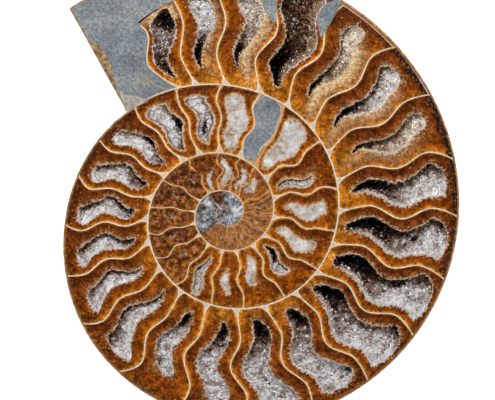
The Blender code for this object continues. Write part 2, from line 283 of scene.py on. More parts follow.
for k in range(count - per_turn, count + 1):
    column = [strip[k][-1]]
    for part in FLANK_ROWS:
        points.append(flank_point(angles[k], part))
        column.append(len(points) - 1)
    flank.append(column)
faces += quads(flank)
faces.append([*strip[-1][1:], *flank[-1][1:], *flank[0][::-1]])      # the broken aperture


def add_node(material, kind, inputs=(), stops=(), **settings):
    """Adds a node with its settings, then its inputs, and the stops of a colour ramp."""
    made = material.node_tree.nodes.new("ShaderNode" + kind)
    for name, value in settings.items():
        setattr(made, name, value)
    set_inputs(material, made, inputs)
    if stops:
        ramp = made.color_ramp.elements
        while len(ramp) < len(stops):
            ramp.new(0.5)
        for element, (place, colour) in zip(ramp, stops):
            element.position = place
            element.color = linear(colour)
    return made


# brown calcite of the outside: dull, lightly worn, blotched with tan, dark brown and grey clay. Here and
# below, a pattern's scale says how many of its patches or grains go into a millimetre
outside, shader = new_material("worn_calcite_shell")
where = add_node(outside, "TexCoord").outputs["Object"]
blotch = add_node(outside, "TexNoise", {"Vector": where, "Scale": 0.09 / MM, "Detail": 6.0, "Roughness": 0.6})
ground = add_node(outside, "ValToRGB", [blotch], stops=[
    (0.3, "4A2A12"), (0.45, "7A4A22"), (0.58, "A0703C"), (0.72, "8C8478")])
fleck = add_node(outside, "TexNoise", {"Vector": where, "Scale": 0.9 / MM, "Detail": 4.0, "Roughness": 0.7})
flecks = add_node(outside, "MapRange", [fleck, 0.35, 0.7, 0.6, 1.25])
worn = add_node(outside, "Mix", [1.0, ground, flecks], data_type="RGBA", blend_type="MULTIPLY")
rough = add_node(outside, "Bump", {"Height": fleck, "Strength": 0.35, "Distance": 0.3 * MM})
set_inputs(outside, shader, {"Base Color": worn, "Normal": rough, "Roughness": 0.5, "IOR": 1.5})
shell = make_piece("shell_flank", points, faces, outside, "brown_calcite")
face_outward(shell, sharp=50)
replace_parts(shell, "shell")

# ---------------------------------------------------------------------------------------------
# The chambers: each is lined with amber calcite that was sawn through and polished flush. Light is
# painted into the lining: it is painted brightest where it faces the broken edge, the side the light
# comes from, and darker where it faces away. It ends in a crystal-toothed lip.
# ---------------------------------------------------------------------------------------------
# angle of the crest next to the inner wall, then how far in degrees the septum hangs back at its
# lobe, drifts back over its length, and sweeps back at its foot and at its tip
SEPTA = [
    (-472.0, 4.0, 0.0, 0.0, 3.0), (-446.0, 6.0, -1.5, 1.0, 5.0), (-418.5, 5.0, 4.5, 1.5, 2.5),
    (-397.0, 6.5, 3.0, 3.5, 0.0), (-376.5, 4.5, 6.5, -4.5, 0.0), (-351.0, 7.0, 6.0, -1.5, 0.0),
    (-324.0, 4.5, 7.0, -0.5, -1.0), (-297.5, 5.5, 3.0, 6.0, 0.0), (-278.0, 7.0, 2.5, -1.0, 4.0),
    (-254.5, 8.5, 5.0, 0.5, 4.0), (-232.0, 6.0, 1.5, -1.0, 3.0),
    (-209.0, 3.5, 0.0, 0.0, 0.0), (-186.5, 2.0, 0.0, 1.0, -0.5), (-165.0, 3.0, -1.0, 1.5, 4.0),
    (-144.5, 4.5, 0.5, 0.0, 4.5), (-122.5, 4.0, 0.5, -0.5, 3.5), (-97.5, 4.5, 2.5, -0.5, -0.5),
    (-74.5, 4.5, 3.5, -0.5, 2.0), (-49.5, 6.0, 4.5, -2.0, 0.5), (-27.0, 5.0, 3.5, 0.5, 0.0),
    (-2.0, 4.0, 6.0, 0.5, 0.0), (20.5, 4.0, 4.0, 0.5, 3.5), (43.0, 5.0, 4.0, 0.0, 0.5),
    (60.5, 1.5, 0.0, 0.5, -2.5), (77.0, 4.0, 0.5, 0.5, 2.5), (96.0, 2.5, 1.0, 0.0, 3.0),
    (114.5, 2.0, 1.5, 1.5, 1.5), (131.0, 2.0, -1.0, 4.0, 2.0), (149.5, 2.5, -1.5, 3.5, 2.0),
    (168.5, 2.0, -0.5, 2.5, 5.0), (186.0, 3.0, 0.0, 4.5, 3.0), (203.5, 3.0, 1.0, 5.5, 2.0),
    (221.5, 3.0, 1.0, 3.5, 4.0), (239.5, 3.5, -0.5, 0.5, 5.0), (257.5, 4.5, -0.5, 0.0, 2.0),
    (276.5, 5.0, 0.0, 0.5, 0.5), (295.0, 4.5, -0.5, 2.5, 1.5), (313.0, 4.5, 1.0, 1.5, 1.5),
    (330.5, 4.5, 1.0, 3.0, 2.5), (347.5, 4.0, 2.0, 3.0, 2.0), (364.0, 4.0, 2.0, 2.0, 2.5),
    (379.5, 3.0, 2.0, 2.5, 4.0), (394.5, 3.0, 2.0, 3.0, 2.0), (409.0, 3.0, 1.5, 3.5, 3.0),
    (424.0, 3.5, 1.5, 3.5, 2.0), (439.5, 3.5, 2.5, 5.0, 2.5), (453.5, 2.5, 1.5, 3.5, 2.5),
    (466.0, 2.0, 2.5, 3.0, 2.5), (477.5, 4.0, 0.0, 6.5, 2.5),
]
CREST_AT = 0.25
TIP_AT = 0.78
# the open chambers, by the crest of the septum behind them: depth in mm, how far out the painted
# black shade of the depths reaches, from where the crystals are white, and how tan they are
HOLLOWS = {
    -122.5: (1.6, 0.10, 0.30, 0.0), -49.5: (2.6, 0.36, 0.48, 0.0), 20.5: (1.8, 0.05, 0.25, 0.0),
    96.0: (2.4, 0.05, 0.22, 0.0), 114.5: (3.2, 0.12, 0.34, 0.0), 131.0: (3.0, 0.12, 0.36, 0.0),
    149.5: (3.8, 0.16, 0.50, 0.0), 168.5: (4.0, 0.16, 0.48, 0.0), 186.0: (4.2, 0.14, 0.42, 0.0),
    203.5: (3.8, 0.12, 0.30, 0.0), 221.5: (4.2, 0.12, 0.34, 0.0), 239.5: (5.2, 0.20, 0.44, 0.0),
    257.5: (5.6, 0.22, 0.52, 0.0), 276.5: (6.2, 0.24, 0.56, 0.0), 295.0: (6.8, 0.22, 0.62, 0.0),
    313.0: (7.4, 0.28, 0.68, 0.0), 330.5: (7.8, 0.38, 0.68, 0.0), 347.5: (7.8, 0.40, 0.74, 0.0),
    364.0: (7.4, 0.36, 0.66, 0.05), 379.5: (5.4, 0.22, 0.80, 0.45), 394.5: (5.6, 0.34, 0.60, 0.1),
    409.0: (4.6, 0.26, 0.74, 0.5), 424.0: (7.8, 0.40, 2.00, 0.35), 439.5: (6.0, 0.26, 0.60, 0.35),
    453.5: (5.2, 0.32, 0.46, 0.0), 466.0: (6.8, 0.12, 0.62, 0.0),
}
# the lips of each hollow, the rims of the flush cores of the filled chambers, and the edge of the
# mud in the mud-filled one, in hundredths: how far along the chamber, then how far across it on its
# first and its last side
SHAPES = {
    -324.0: [(25, 60, 72), (50, 55, 90), (72, 66, 84)],
    -297.5: [(15, 42, 56), (45, 32, 62), (75, 42, 66)],
    -278.0: [(12, 42, 58), (28, 36, 70), (50, 38, 80), (74, 56, 80), (84, 62, 76)],
    -254.5: [(6, 50, 58), (30, 46, 63), (50, 50, 58)],
    -97.5: [(36, 46, 54), (48, 40, 60), (62, 42, 60), (72, 48, 54)],
    -122.5: [(22, 44, 52), (35, 36, 58), (50, 31, 60), (70, 30, 62), (86, 36, 58), (90, 42, 52)],
    -74.5: [(17, 45, 53), (30, 35, 64), (45, 33, 65), (60, 42, 56)],
    -49.5: [(17, 46, 54), (24, 38, 63), (43, 33, 66), (55, 32, 68), (66, 42, 60)],
    -27.0: [(16, 42, 52), (24, 34, 60), (38, 36, 58), (52, 30, 64), (64, 32, 62), (76, 44, 54)],
    -2.0: [(20, 40, 48), (30, 32, 58), (46, 27, 60), (62, 28, 66), (78, 42, 60)],
    20.5: [(12, 33, 40), (20, 26, 48), (35, 23, 50), (50, 24, 50), (65, 34, 42)],
    43.0: [(10, 40, 66), (18, 30, 78), (50, 30, 84), (80, 24, 86), (90, 36, 76)],
    60.5: [(4.5, 17, 84), (12, 12, 94), (27, 18, 97), (40, 13, 97), (50, 9, 97), (62, 6, 97), (75, 6, 96),
           (87, 8, 94), (94, 13, 88), (97.5, 20, 78)],
    77.0: [(8, 45, 55), (12, 32, 70), (30, 25, 76), (50, 24, 77), (70, 25, 77), (84, 32, 70),
           (87, 42, 60)],
    96.0: [(16, 46, 52), (20, 38, 66), (26, 34, 73), (38, 24, 73), (50, 24, 68), (62, 28, 68),
           (72, 30, 81), (80, 31, 84), (83, 42, 74)],
    114.5: [(15.5, 53, 59), (17, 47, 70), (29, 34, 82), (41, 26, 82), (50, 20, 80), (60, 22, 76),
            (72, 32, 84), (82, 29, 82), (85, 40, 72)],
    131.0: [(15, 50, 56), (20, 45, 66), (26, 40, 74), (38, 32, 73), (50, 25, 71), (65, 33, 71),
            (78, 40, 80), (85, 50, 72)],
    149.5: [(16, 47, 53), (20, 44, 70), (32, 33, 73), (44, 25, 72), (55, 26, 71), (62, 36, 72),
            (72, 35, 84), (82, 45, 74)],
    168.5: [(18.5, 49, 55), (26, 41, 79), (35, 33, 75), (44, 23, 72), (53, 23, 70), (60, 35, 71),
            (73, 36, 86), (84, 48, 76)],
    186.0: [(17, 51, 57), (20, 46, 64), (32, 41, 69), (44, 33, 71), (56, 30, 71), (68, 33, 71),
            (74, 34, 86), (82, 44, 76)],
    203.5: [(18.5, 47, 53), (24, 45, 60), (32, 39, 64), (44, 32, 66), (53, 28, 66), (60, 35, 66),
            (70, 35, 69), (77, 32, 82), (81, 42, 72)],
    221.5: [(14, 52, 58), (17, 50, 60), (29, 40, 62), (35, 34, 63), (47, 26, 65), (60, 25, 66),
            (72, 26, 66), (82, 26, 84), (86, 36, 72)],
    239.5: [(15, 52, 58), (20, 42, 65), (32, 35, 68), (44, 30, 68), (53, 27, 69), (62, 34, 69),
            (71, 31, 68), (74, 40, 60)],
    257.5: [(14.5, 56, 62), (20, 49, 72), (26, 41, 72), (38, 33, 72), (50, 29, 70), (65, 31, 73),
            (79, 28, 67), (84, 38, 60)],
    276.5: [(12, 47, 55), (17, 39, 75), (29, 33, 74), (41, 27, 74), (53, 24, 73), (65, 22, 68),
            (77, 21, 75), (85, 21, 82), (88, 30, 72)],
    295.0: [(11.5, 50, 56), (17, 36, 71), (26, 31, 73), (38, 26, 72), (50, 22, 69), (60, 21, 68),
            (71, 21, 71), (81, 21, 84), (87, 22, 82), (90, 32, 72)],
    313.0: [(8.5, 50, 56), (17, 33, 75), (29, 25, 81), (38, 24, 76), (50, 22, 81), (65, 19, 72),
            (75, 19, 73), (81, 18, 88), (91, 17, 81), (93, 25, 70)],
    330.5: [(8.5, 47, 55), (17, 30, 74), (32, 25, 77), (47, 25, 77), (59, 22, 75), (73, 19, 74),
            (81, 19, 90), (91, 17, 83), (93, 25, 72)],
    347.5: [(8.5, 47, 55), (17, 35, 69), (29, 29, 76), (44, 27, 77), (59, 25, 74), (72, 22, 72),
            (78, 22, 85), (88, 22, 78), (91, 30, 68)],
    364.0: [(12.5, 48, 54), (17, 41, 61), (29, 32, 68), (44, 26, 71), (56, 25, 73), (68, 24, 73),
            (80, 21, 82), (88, 30, 70)],
    379.5: [(20.5, 47, 53), (29, 44, 60), (38, 38, 65), (50, 35, 69), (65, 36, 70), (80, 44, 75),
            (84, 50, 68)],
    394.5: [(17, 38, 42), (20, 36, 49), (32, 37, 57), (44, 36, 66), (50, 33, 66), (60, 31, 67),
            (70, 29, 67), (76, 28, 78), (84, 38, 68)],
    409.0: [(18.5, 45, 49), (25, 40, 53), (32, 36, 56), (41, 34, 64), (49, 36, 69), (56, 35, 66),
            (64, 34, 61), (72, 33, 65), (80, 34, 68), (88, 42, 62)],
    424.0: [(12.5, 40, 44), (20, 26, 60), (26, 20, 68), (38, 17, 70), (50, 17, 78), (60, 17, 85),
            (75, 22, 89), (90, 24, 85), (95, 34, 75)],
    439.5: [(17.5, 48, 52), (20, 46, 54), (29, 38, 58), (38, 33, 61), (46, 33, 64), (54, 34, 58),
            (60, 26, 67), (70, 25, 67), (74, 35, 58)],
    453.5: [(16, 53, 57), (20, 48, 63), (26, 42, 64), (38, 35, 59), (47, 26, 62), (60, 22, 74),
            (70, 26, 72), (74, 38, 60)],
    466.0: [(10, 58, 64), (13, 52, 72), (20, 48, 81), (32, 35, 79), (41, 23, 85), (53, 22, 87),
            (57, 22, 85), (62, 22, 58), (66, 24, 34)],
}
NO_CORE = [(45, 49, 51), (55, 49, 51)]
CUT_SHORT = {466.0: (0.725, 0.625)}    # mud fills this chamber's outer part, on each of its sides from here
HONEY = {379.5: 0.3, 394.5: 0.5, 409.0: 0.95, 439.5: 0.75, 453.5: 0.3}    # pale linings on the sunlit side
MUD_CHAMBER = 60.5
AMBER = {-297.5: 0.8, -278.0: 0.7, -254.5: 0.6, -144.5: 0.25, -186.5: 0.15}    # how orange a marbled one is
BANDED = {-324.0: -0.5, -297.5: -0.4, -278.0: -0.4, -254.5: -0.45}    # marbled in part, with gold bands
FIRST_TURN_TO = -300.0    # up to this angle the chambers are orange where nothing else is said
SECOND_WHORL = -135.0     # from this angle on the chambers have cores, and inside it they are marbled
LAST_WHORL = 122.0
SEPTUM_WIDTH = 0.37
WALL_WIDTH = 0.5
SHELL_WALL = 0.6   # thickness of the outermost wall as the cut shows it
THICKER = 0.65     # and how much thicker it grows towards the body chamber
SIDE = 80          # points along each side of a chamber
END = 12           # points between its corners at each end
LINING_RINGS = [0.0, 0.03, 0.09, 0.18, 0.30, 0.44, 0.58, 0.72, 0.84, 0.93, 1.0]
LIP_TEETH = 0.2
BLUNT_END = 0.55   # width of a hollow's end, as a share of the width at the next place
TINY = 1e-9
FAR = 9.0          # distance from the outer wall that is given where it doesn't matter


def septum_angle(septum, along):
    """Total angle of a septum at `along`, which runs from 0 at the inner wall to 1 at the outer."""
    crest, lobe, drift, foot, tip = septum
    between = min(1.0, max(0.0, (along - CREST_AT) / (TIP_AT - CREST_AT)))
    return (crest - lobe * math.sin(math.pi * between) ** 2 - drift * between
            - foot * max(0.0, 1 - along / CREST_AT) ** 1.5
            - tip * max(0.0, (along - TIP_AT) / (1 - TIP_AT)) ** 1.5)


def chamber_point(first, last, across, along):
    """Plan position in the chamber between two septa, `across` from 0 at the first to 1."""
    angle = (1 - across) * septum_angle(first, along) + across * septum_angle(last, along)
    inner = wall_radius(angle - TURN)
    return plan(angle, inner + along * (wall_radius(angle) - inner))


def shell_wall(angle):
    """Thickness of the outermost wall."""
    return SHELL_WALL + THICKER * smooth((angle - 388) / 22) * (1 - smooth((angle - 452) / 14))


def thinner(angle):
    """How thin the first whorls' walls are, as a share of the later ones' width."""
    return min(1.0, wall_radius(angle) / 25 + 0.35)


def outer_wall_width(angle):
    """What the wall outside takes of a chamber: half its width, or all where it has no neighbour."""
    bare = smooth((angle - LAST_WHORL) / 10)
    return (1 - bare) * WALL_WIDTH / 2 * thinner(angle) + bare * shell_wall(angle)


def side_inset(septum, along, chamber):
    """How far a chamber's side stays from the middle of its septum, as part of the chamber's width."""
    first, last = chamber
    angle = septum_angle(septum, along)
    inner, outer = wall_radius(angle - TURN), wall_radius(angle)
    radius = inner + along * (outer - inner)
    bend = math.radians(septum_angle(septum, along + 0.01) - septum_angle(septum, along - 0.01)) * radius
    slope = bend / (0.02 * (outer - inner))
    wide = math.dist(chamber_point(first, last, 0.0, along), chamber_point(first, last, 1.0, along))
    size = min(1.0, outer / 32)
    foot = max(0.0, 1 - along * (outer - inner) / (3.2 * size))
    tip = max(0.0, 1 - (1 - along) * (outer - inner) / (1.6 * size))
    half = SEPTUM_WIDTH / 2 * (0.1 + 0.9 * size) + 1.15 * size ** 1.5 * foot ** 2.4 + 0.4 * size * tip ** 2
    return min(0.42, half * math.hypot(1, slope) / wide)


def closer_at_ends(start, end):
    """Places from start to end, closer together towards both."""
    return [start + (end - start) * (0.5 - 0.5 * math.cos(math.pi * k / (SIDE - 1))) for k in range(SIDE)]


def side_places(first, last):
    """Where a chamber's sides have their points."""
    angle = (septum_angle(first, 0.5) + septum_angle(last, 0.5)) / 2
    long = wall_radius(angle) - wall_radius(angle - TURN)
    start = WALL_WIDTH / 2 * thinner(angle - TURN) / long
    end = 1 - outer_wall_width(angle) / long
    return closer_at_ends(start, end)


def shape_sides(shape):
    """The two sides of a hollow or core as (across, along), with blunt ends and rounded corners."""
    shape = [tuple(value / 100 for value in station) for station in shape]
    for end, near in ((0, 1), (-1, -2)):
        middle, half = sum(shape[end][1:]) / 2, BLUNT_END * (shape[near][2] - shape[near][1]) / 2
        shape[end] = (shape[end][0], min(shape[end][1], middle - half), max(shape[end][2], middle + half))
    alongs = closer_at_ends(shape[0][0], shape[-1][0])
    sides = []
    for column in (1, 2):
        across = []
        for along in alongs:
            before = max(station for station in shape if station[0] <= along + TINY)
            after = min(station for station in shape if station[0] >= along - TINY)
            span = after[0] - before[0]
            part = (along - before[0]) / span if span > TINY else 0.0
            across.append(before[column] + part * (after[column] - before[column]))
        for _ in range(4):
            inner = [(a + 2 * b + c) / 4 for a, b, c in zip(across, across[1:], across[2:])]
            across = [across[0], *inner, across[-1]]
        sides.append(list(zip(across, alongs)))
    return sides


def blend(a, b, part):
    """The place `part` of the way from one pair of numbers to another."""
    return a[0] + part * (b[0] - a[0]), a[1] + part * (b[1] - a[1])


def add_point(sink, place, **values):
    """Adds a point of a lining's mesh, with its value in each of the lining's attributes."""
    sink["points"].append(place)
    for key, value in values.items():
        sink[key].append(value)


def around(first_side, last_side, bulge):
    """One closed outline: out along the first side, over the outer end, back along the last side."""
    def end(a, b, way):
        found = []
        for j in range(1, END + 1):
            q = j / (END + 1)
            across, along = blend(a, b, q)
            found.append((across, along + way * bulge * math.sin(math.pi * q)))
        return found
    return (first_side + end(first_side[-1], last_side[-1], 1) + last_side[::-1]
            + end(last_side[0], first_side[0], -1))


def chamber_piece(pair, rng, sink):
    """Adds one chamber's lining to `sink`. Returns the points of its lip and of its wall, and the lip's
    places in the chamber."""
    first, last = pair
    crest = first[0]
    places = side_places(first, last)
    wall_sides = []
    for septum, end, flip in zip(pair, CUT_SHORT.get(crest, (1, 1)), (False, True)):
        side = []
        for along in places:
            if end < 1:
                along = places[0] + (along - places[0]) * (end - places[0]) / (places[-1] - places[0])
            inset = side_inset(septum, along, pair)
            side.append((1 - inset if flip else inset, along))
        wall_sides.append(side)
    edge = around(*wall_sides, 0.0)
    lip = around(*shape_sides(SHAPES.get(crest, NO_CORE)), 0.012)
    total = len(edge)
    outer = [chamber_point(first, last, *at) for at in edge]
    inner = [chamber_point(first, last, *at) for at in lip]
    size = min(1.0, wall_radius(crest) / 45)
    for k in range(total):
        x, y = inner[k]
        way = Vector((outer[k][0] - x, outer[k][1] - y))
        far = max(way.length, 0.01)
        wobble = (0.22 * noise.noise(Vector((x * 0.6, y * 0.6, 1.0)))
                  + 0.24 * noise.noise(Vector((x * 1.5, y * 1.5, 5.0))))
        teeth = 0.0 if crest == MUD_CHAMBER else rng.uniform(-LIP_TEETH, LIP_TEETH)
        shift = max(-0.3 * far, min(0.5 * far, (wobble + teeth) * size))
        inner[k] = (x + way.x / far * shift, y + way.y / far * shift)
    base = len(sink["points"])
    foot_middle = chamber_point(first, last, 0.5, places[0])
    chamber_length = math.dist(foot_middle, chamber_point(first, last, 0.5, places[-1]))
    full_length = wall_radius(crest) - wall_radius(crest - TURN)
    second, last_one = SECOND_WHORL < crest < LAST_WHORL, crest > LAST_WHORL
    soot = (0.3 + 0.7 * smooth((crest - 335) / 20) * (1 - smooth((crest - 396) / 12))) * last_one
    around_cores = smooth((crest - SECOND_WHORL) / 5) * (1 - smooth((crest - LAST_WHORL) / 8))
    stripes = 3.0 if crest < -370 else 2.0 if crest < FIRST_TURN_TO else 0.0
    lip_start = min(at[1] for at in lip)
    for share in LINING_RINGS:
        for k in range(total):
            ahead, behind = outer[(k + 1) % total], outer[k - 1]
            tangent = Vector((ahead[0] - behind[0], ahead[1] - behind[1])).normalized()
            far = math.dist(outer[k], inner[k])
            across, along = blend(edge[k], lip[k], share)
            foot = max(0.0, 1 - math.dist(outer[k], foot_middle) / (0.45 * chamber_length))
            honey = HONEY.get(crest, 0.0) * (1 - smooth((across - 0.30) / 0.2))
            pale = honey * (1 - smooth((along - 0.66) / 0.2))
            halo = around_cores
            if crest in CUT_SHORT:
                pale = 0.8 * smooth((along - 0.55) / 0.05)
                halo = smooth((along - 0.58) / 0.06)
            out = (1 - along) * full_length - shell_wall(crest) + (1.5 if second else 0.0)
            # painted light: `sunny` says how far this side of the lip faces the light; it paints the frosty
            # fringe wider and whiter there
            sunny = max(smooth((tangent.x + 0.6) / 1.05), 0.6 if second else 0.0)
            # painted light: one attribute below gives how far the lining's edge faces the light, plus a share
            # at the foot; it picks the lit or the shaded colours
            add_point(sink, (*blend(outer[k], inner[k], share), HALF_THICKNESS),
                      rim=share * far, lip=(1 - share) * far,
                      glow=tangent.x + 0.9 * foot,      # the inward normal's share along +Y
                      tone=pale if second or last_one else BANDED.get(crest, -1.0), halo=halo,
                      out=out if second or last_one else FAR, soot=soot,
                      fringe=sunny * smooth((lip[k][1] - lip_start - 0.04) / 0.14),
                      stripe=across * stripes if stripes else 0.5,
                      amber=AMBER.get(crest, 0.0 if crest > FIRST_TURN_TO else 0.75),
                      foot=foot * (1.0 if crest > 250 else 0.7), flow=(k * 0.25, share * far, crest))
    for ring in range(len(LINING_RINGS) - 1):
        for k in range(total):
            n = (k + 1) % total
            a, b = base + ring * total, base + (ring + 1) * total
            sink["faces"].append((a + n, b + n, b + k, a + k))
    if crest not in HOLLOWS and crest != MUD_CHAMBER:
        core_faces(crest, inner, base + (len(LINING_RINGS) - 1) * total, sink)
    return inner, outer, lip


def crosswise(outline):
    """Rows of indices across an outline, from its first side to its last, from its inner end out."""
    total = len(outline)
    rows = [[0, *[total - j for j in range(1, END + 1)], total - END - 1]]
    rows += [[k, *[None] * END, total - END - 1 - k] for k in range(1, SIDE - 1)]
    return rows + [list(range(SIDE - 1, SIDE + END + 1))]


def core_faces(crest, inner, lip_base, sink):
    """Closes a filled chamber's middle with a flush grid that shares the lip's points."""
    grid = []
    for k, row in enumerate(crosswise(inner)):
        left, right = inner[row[0]], inner[row[-1]]
        found = []
        for j, index in enumerate(row):
            if index is not None:
                found.append(lip_base + index)
                continue
            q = j / (END + 1)
            add_point(sink, (*blend(left, right, q), HALF_THICKNESS),
                      rim=3.0, lip=-min(q, 1 - q) * math.dist(left, right), glow=0.0,
                      tone=0.0 if crest > SECOND_WHORL else BANDED.get(crest, -1.0), halo=0.0, out=FAR,
                      soot=0.0, fringe=1.0, stripe=0.5,
                      amber=AMBER.get(crest, 0.0 if crest > FIRST_TURN_TO else 0.75),
                      foot=0.0, flow=(k * 0.25, 3.0, crest))
            found.append(len(sink["points"]) - 1)
        grid.append(found)
    sink["faces"] += quads(grid)


# polished amber calcite: bands that follow each chamber's outline, in columns that grew away from
# the septum, sugary with small crystals towards the lip
LINING_KEYS = ("rim", "lip", "glow", "tone", "halo", "out", "soot", "fringe", "stripe", "amber", "foot",
               "flow")
lining, shader = new_material("polished_amber_calcite")
where = add_node(lining, "TexCoord").outputs["Object"]
get = {key: add_node(lining, "Attribute", attribute_name=key).outputs["Vector" if key == "flow" else "Fac"]
       for key in LINING_KEYS}
column_map = add_node(lining, "Mapping", {"Vector": get["flow"], "Scale": (2.6, 0.6, 1.0)})
columns = add_node(lining, "TexNoise", {"Vector": column_map, "Scale": 1.0, "Detail": 4.0,
                   "Roughness": 0.65})
patch = add_node(lining, "TexNoise", {"Vector": where, "Scale": 0.21 / MM, "Detail": 3.0})
mottle = add_node(lining, "TexNoise", {"Vector": where, "Scale": 0.7 / MM, "Detail": 4.0, "Roughness": 0.65})
grain = add_node(lining, "TexNoise", {"Vector": where, "Scale": 1.4 / MM, "Detail": 2.0, "Roughness": 0.7})
both = add_node(lining, "Math", [get["rim"], get["lip"]], operation="ADD")
part = add_node(lining, "Math", [get["rim"], both], operation="DIVIDE")
shift = add_node(lining, "Math", [columns, 0.5], operation="SUBTRACT")
band = add_node(lining, "Math", [shift, 0.8, part], operation="MULTIPLY_ADD")
# painted light: the lining is painted from a lit copy and a darker shaded copy of its colours; the shaded
# copy's darker line next to the septum is a painted shadow
bright = add_node(lining, "ValToRGB", [band], stops=[
    (0.0, "DE942E"), (0.12, "BE6C10"), (0.28, "A25208"), (0.55, "8E4206"), (0.8, "8E4A12"),
    (1.0, "A86E3A")])
dark = add_node(lining, "ValToRGB", [band], stops=[
    (0.0, "743408"), (0.1, "502004"), (0.28, "6C2E06"), (0.55, "7A3A0C"), (0.8, "8C5428"), (1.0, "A4744C")])
# `side` is 1 where the lining faces the light and 0 where it faces away; it mixes the two copies
side = add_node(lining, "MapRange", [get["glow"], -0.6, 0.45], interpolation_type="SMOOTHSTEP")
body = add_node(lining, "Mix", [side, dark, bright], data_type="RGBA")
# a gold band in the calcite next to the septum, painted stronger on the sunlit side as painted light
glow_width = add_node(lining, "MapRange", [get["rim"], 0.6, 0.02, 0.0, 0.62])
one_side = add_node(lining, "Math", [side, 0.65, 0.35], operation="MULTIPLY_ADD")
glow_side = add_node(lining, "Math", [one_side, get["halo"]], operation="MAXIMUM")
glow_share = add_node(lining, "Math", [glow_width, glow_side], operation="MULTIPLY")
glowing = add_node(lining, "Mix", [glow_share, body, "DE9C3A"], data_type="RGBA")
# and in the corners of its foot, also painted stronger on the sunlit side
footing = add_node(lining, "Math", [patch, 1.1, get["foot"]], operation="MULTIPLY_ADD")
foot_share = add_node(lining, "MapRange", [footing, 1.08, 1.7, 0.0, 0.85])
foot_side = add_node(lining, "Math", [foot_share, glow_side], operation="MULTIPLY")
footed = add_node(lining, "Mix", [foot_side, glowing, "DC8E28"], data_type="RGBA")
older = add_node(lining, "MapRange", [get["halo"], 0.0, 1.0, 1.0, 1.05])
older_body = add_node(lining, "Mix", [1.0, footed, older], data_type="RGBA", blend_type="MULTIPLY")
patches = add_node(lining, "MapRange", [patch, 0.36, 0.64, 0.66, 1.22])
streaks = add_node(lining, "MapRange", [columns, 0.36, 0.64, 0.68, 1.3])
texture = add_node(lining, "Math", [patches, streaks], operation="MULTIPLY")
far_out = add_node(lining, "Math", [mottle, 7.0, get["out"]], operation="MULTIPLY_ADD")
outer_shade = add_node(lining, "MapRange", [far_out, 7.4, 4.2, 0.0, 0.72])
outer_body = add_node(lining, "Mix", [outer_shade, older_body, "642E0A"], data_type="RGBA")
patched = add_node(lining, "Mix", [1.0, outer_body, texture], data_type="RGBA", blend_type="MULTIPLY")
mottles = add_node(lining, "MapRange", [mottle, 0.38, 0.62, 0.48, 1.34])
mottled = add_node(lining, "Mix", [1.0, patched, mottles], data_type="RGBA", blend_type="MULTIPLY")
# sugar: pale specks, thicker towards the lip, painted paler on the sunlit side as painted light
sugar_zone = add_node(lining, "MapRange", [get["lip"], 1.5, 0.0, 0.0, 0.2])
sugar_level = add_node(lining, "Math", [grain, sugar_zone], operation="ADD")
sugar = add_node(lining, "MapRange", [sugar_level, 0.66, 0.75, 0.0, 0.85])
sugar_colour = add_node(lining, "Mix", [side, "C8A07C", "DEC0A0"], data_type="RGBA")
sugared = add_node(lining, "Mix", [sugar, mottled, sugar_colour], data_type="RGBA")
pit = add_node(lining, "MapRange", [grain, 0.42, 0.33, 0.0, 0.7])
pitted = add_node(lining, "Mix", [pit, sugared, "4A1E02"], data_type="RGBA")
# dark clayey layer just inside the outer wall
outward = add_node(lining, "Math", [mottle, 5.0, get["out"]], operation="MULTIPLY_ADD")
near_wall = add_node(lining, "MapRange", [outward, 3.95, 3.4])
sooty = add_node(lining, "Math", [near_wall, get["soot"]], operation="MULTIPLY")
soot_colour = add_node(lining, "ValToRGB", [grain], stops=[
    (0.36, "0E0A08"), (0.5, "2A1C14"), (0.6, "54402E"), (0.72, "94785C")])
layered = add_node(lining, "Mix", [sooty, pitted, soot_colour], data_type="RGBA")
# gold calcite around the white cores of the second whorl
halo_width = add_node(lining, "MapRange", [get["lip"], 1.0, 0.1, 0.0, 0.7])
halo_side = add_node(lining, "Math", [halo_width, glow_side], operation="MULTIPLY")
halo = add_node(lining, "Math", [halo_side, get["halo"]], operation="MULTIPLY")
haloed = add_node(lining, "Mix", [halo, layered, "D89430"], data_type="RGBA")
# frosty edge where the lining turns into crystals, painted wider and whiter on the sunlit side as
# painted light, and white crystals in the middle of a filled chamber
lip_edge = add_node(lining, "Math", [grain, -2.4, get["lip"]], operation="MULTIPLY_ADD")
lit_edge = add_node(lining, "Math", [get["fringe"], -0.45, lip_edge], operation="MULTIPLY_ADD")
frost = add_node(lining, "MapRange", [lit_edge, -0.95, -1.4, 0.0, 0.92])
fringe_colour = add_node(lining, "Mix", [get["fringe"], "C49A74", "D2C0B0"], data_type="RGBA")
fringed = add_node(lining, "Mix", [frost, haloed, fringe_colour], data_type="RGBA")
core_edge = add_node(lining, "Math", [mottle, -1.6, get["lip"]], operation="MULTIPLY_ADD")
core_mask = add_node(lining, "MapRange", [core_edge, -0.4, -1.2])
core_depth = add_node(lining, "Math", [patch, 0.45], operation="MULTIPLY")
core_cloud = add_node(lining, "TexNoise", {"Vector": where, "Scale": 0.62 / MM, "Detail": 6.0,
                      "Roughness": 0.75})
core_level = add_node(lining, "Math", [core_cloud, core_depth], operation="ADD")
core_colour = add_node(lining, "ValToRGB", [core_level], stops=[
    (0.54, "7A5028"), (0.62, "A88C72"), (0.69, "BCB2AA"), (0.78, "D0CCC8"), (0.92, "F0EFEE")])
cored = add_node(lining, "Mix", [core_mask, fringed, core_colour], data_type="RGBA")
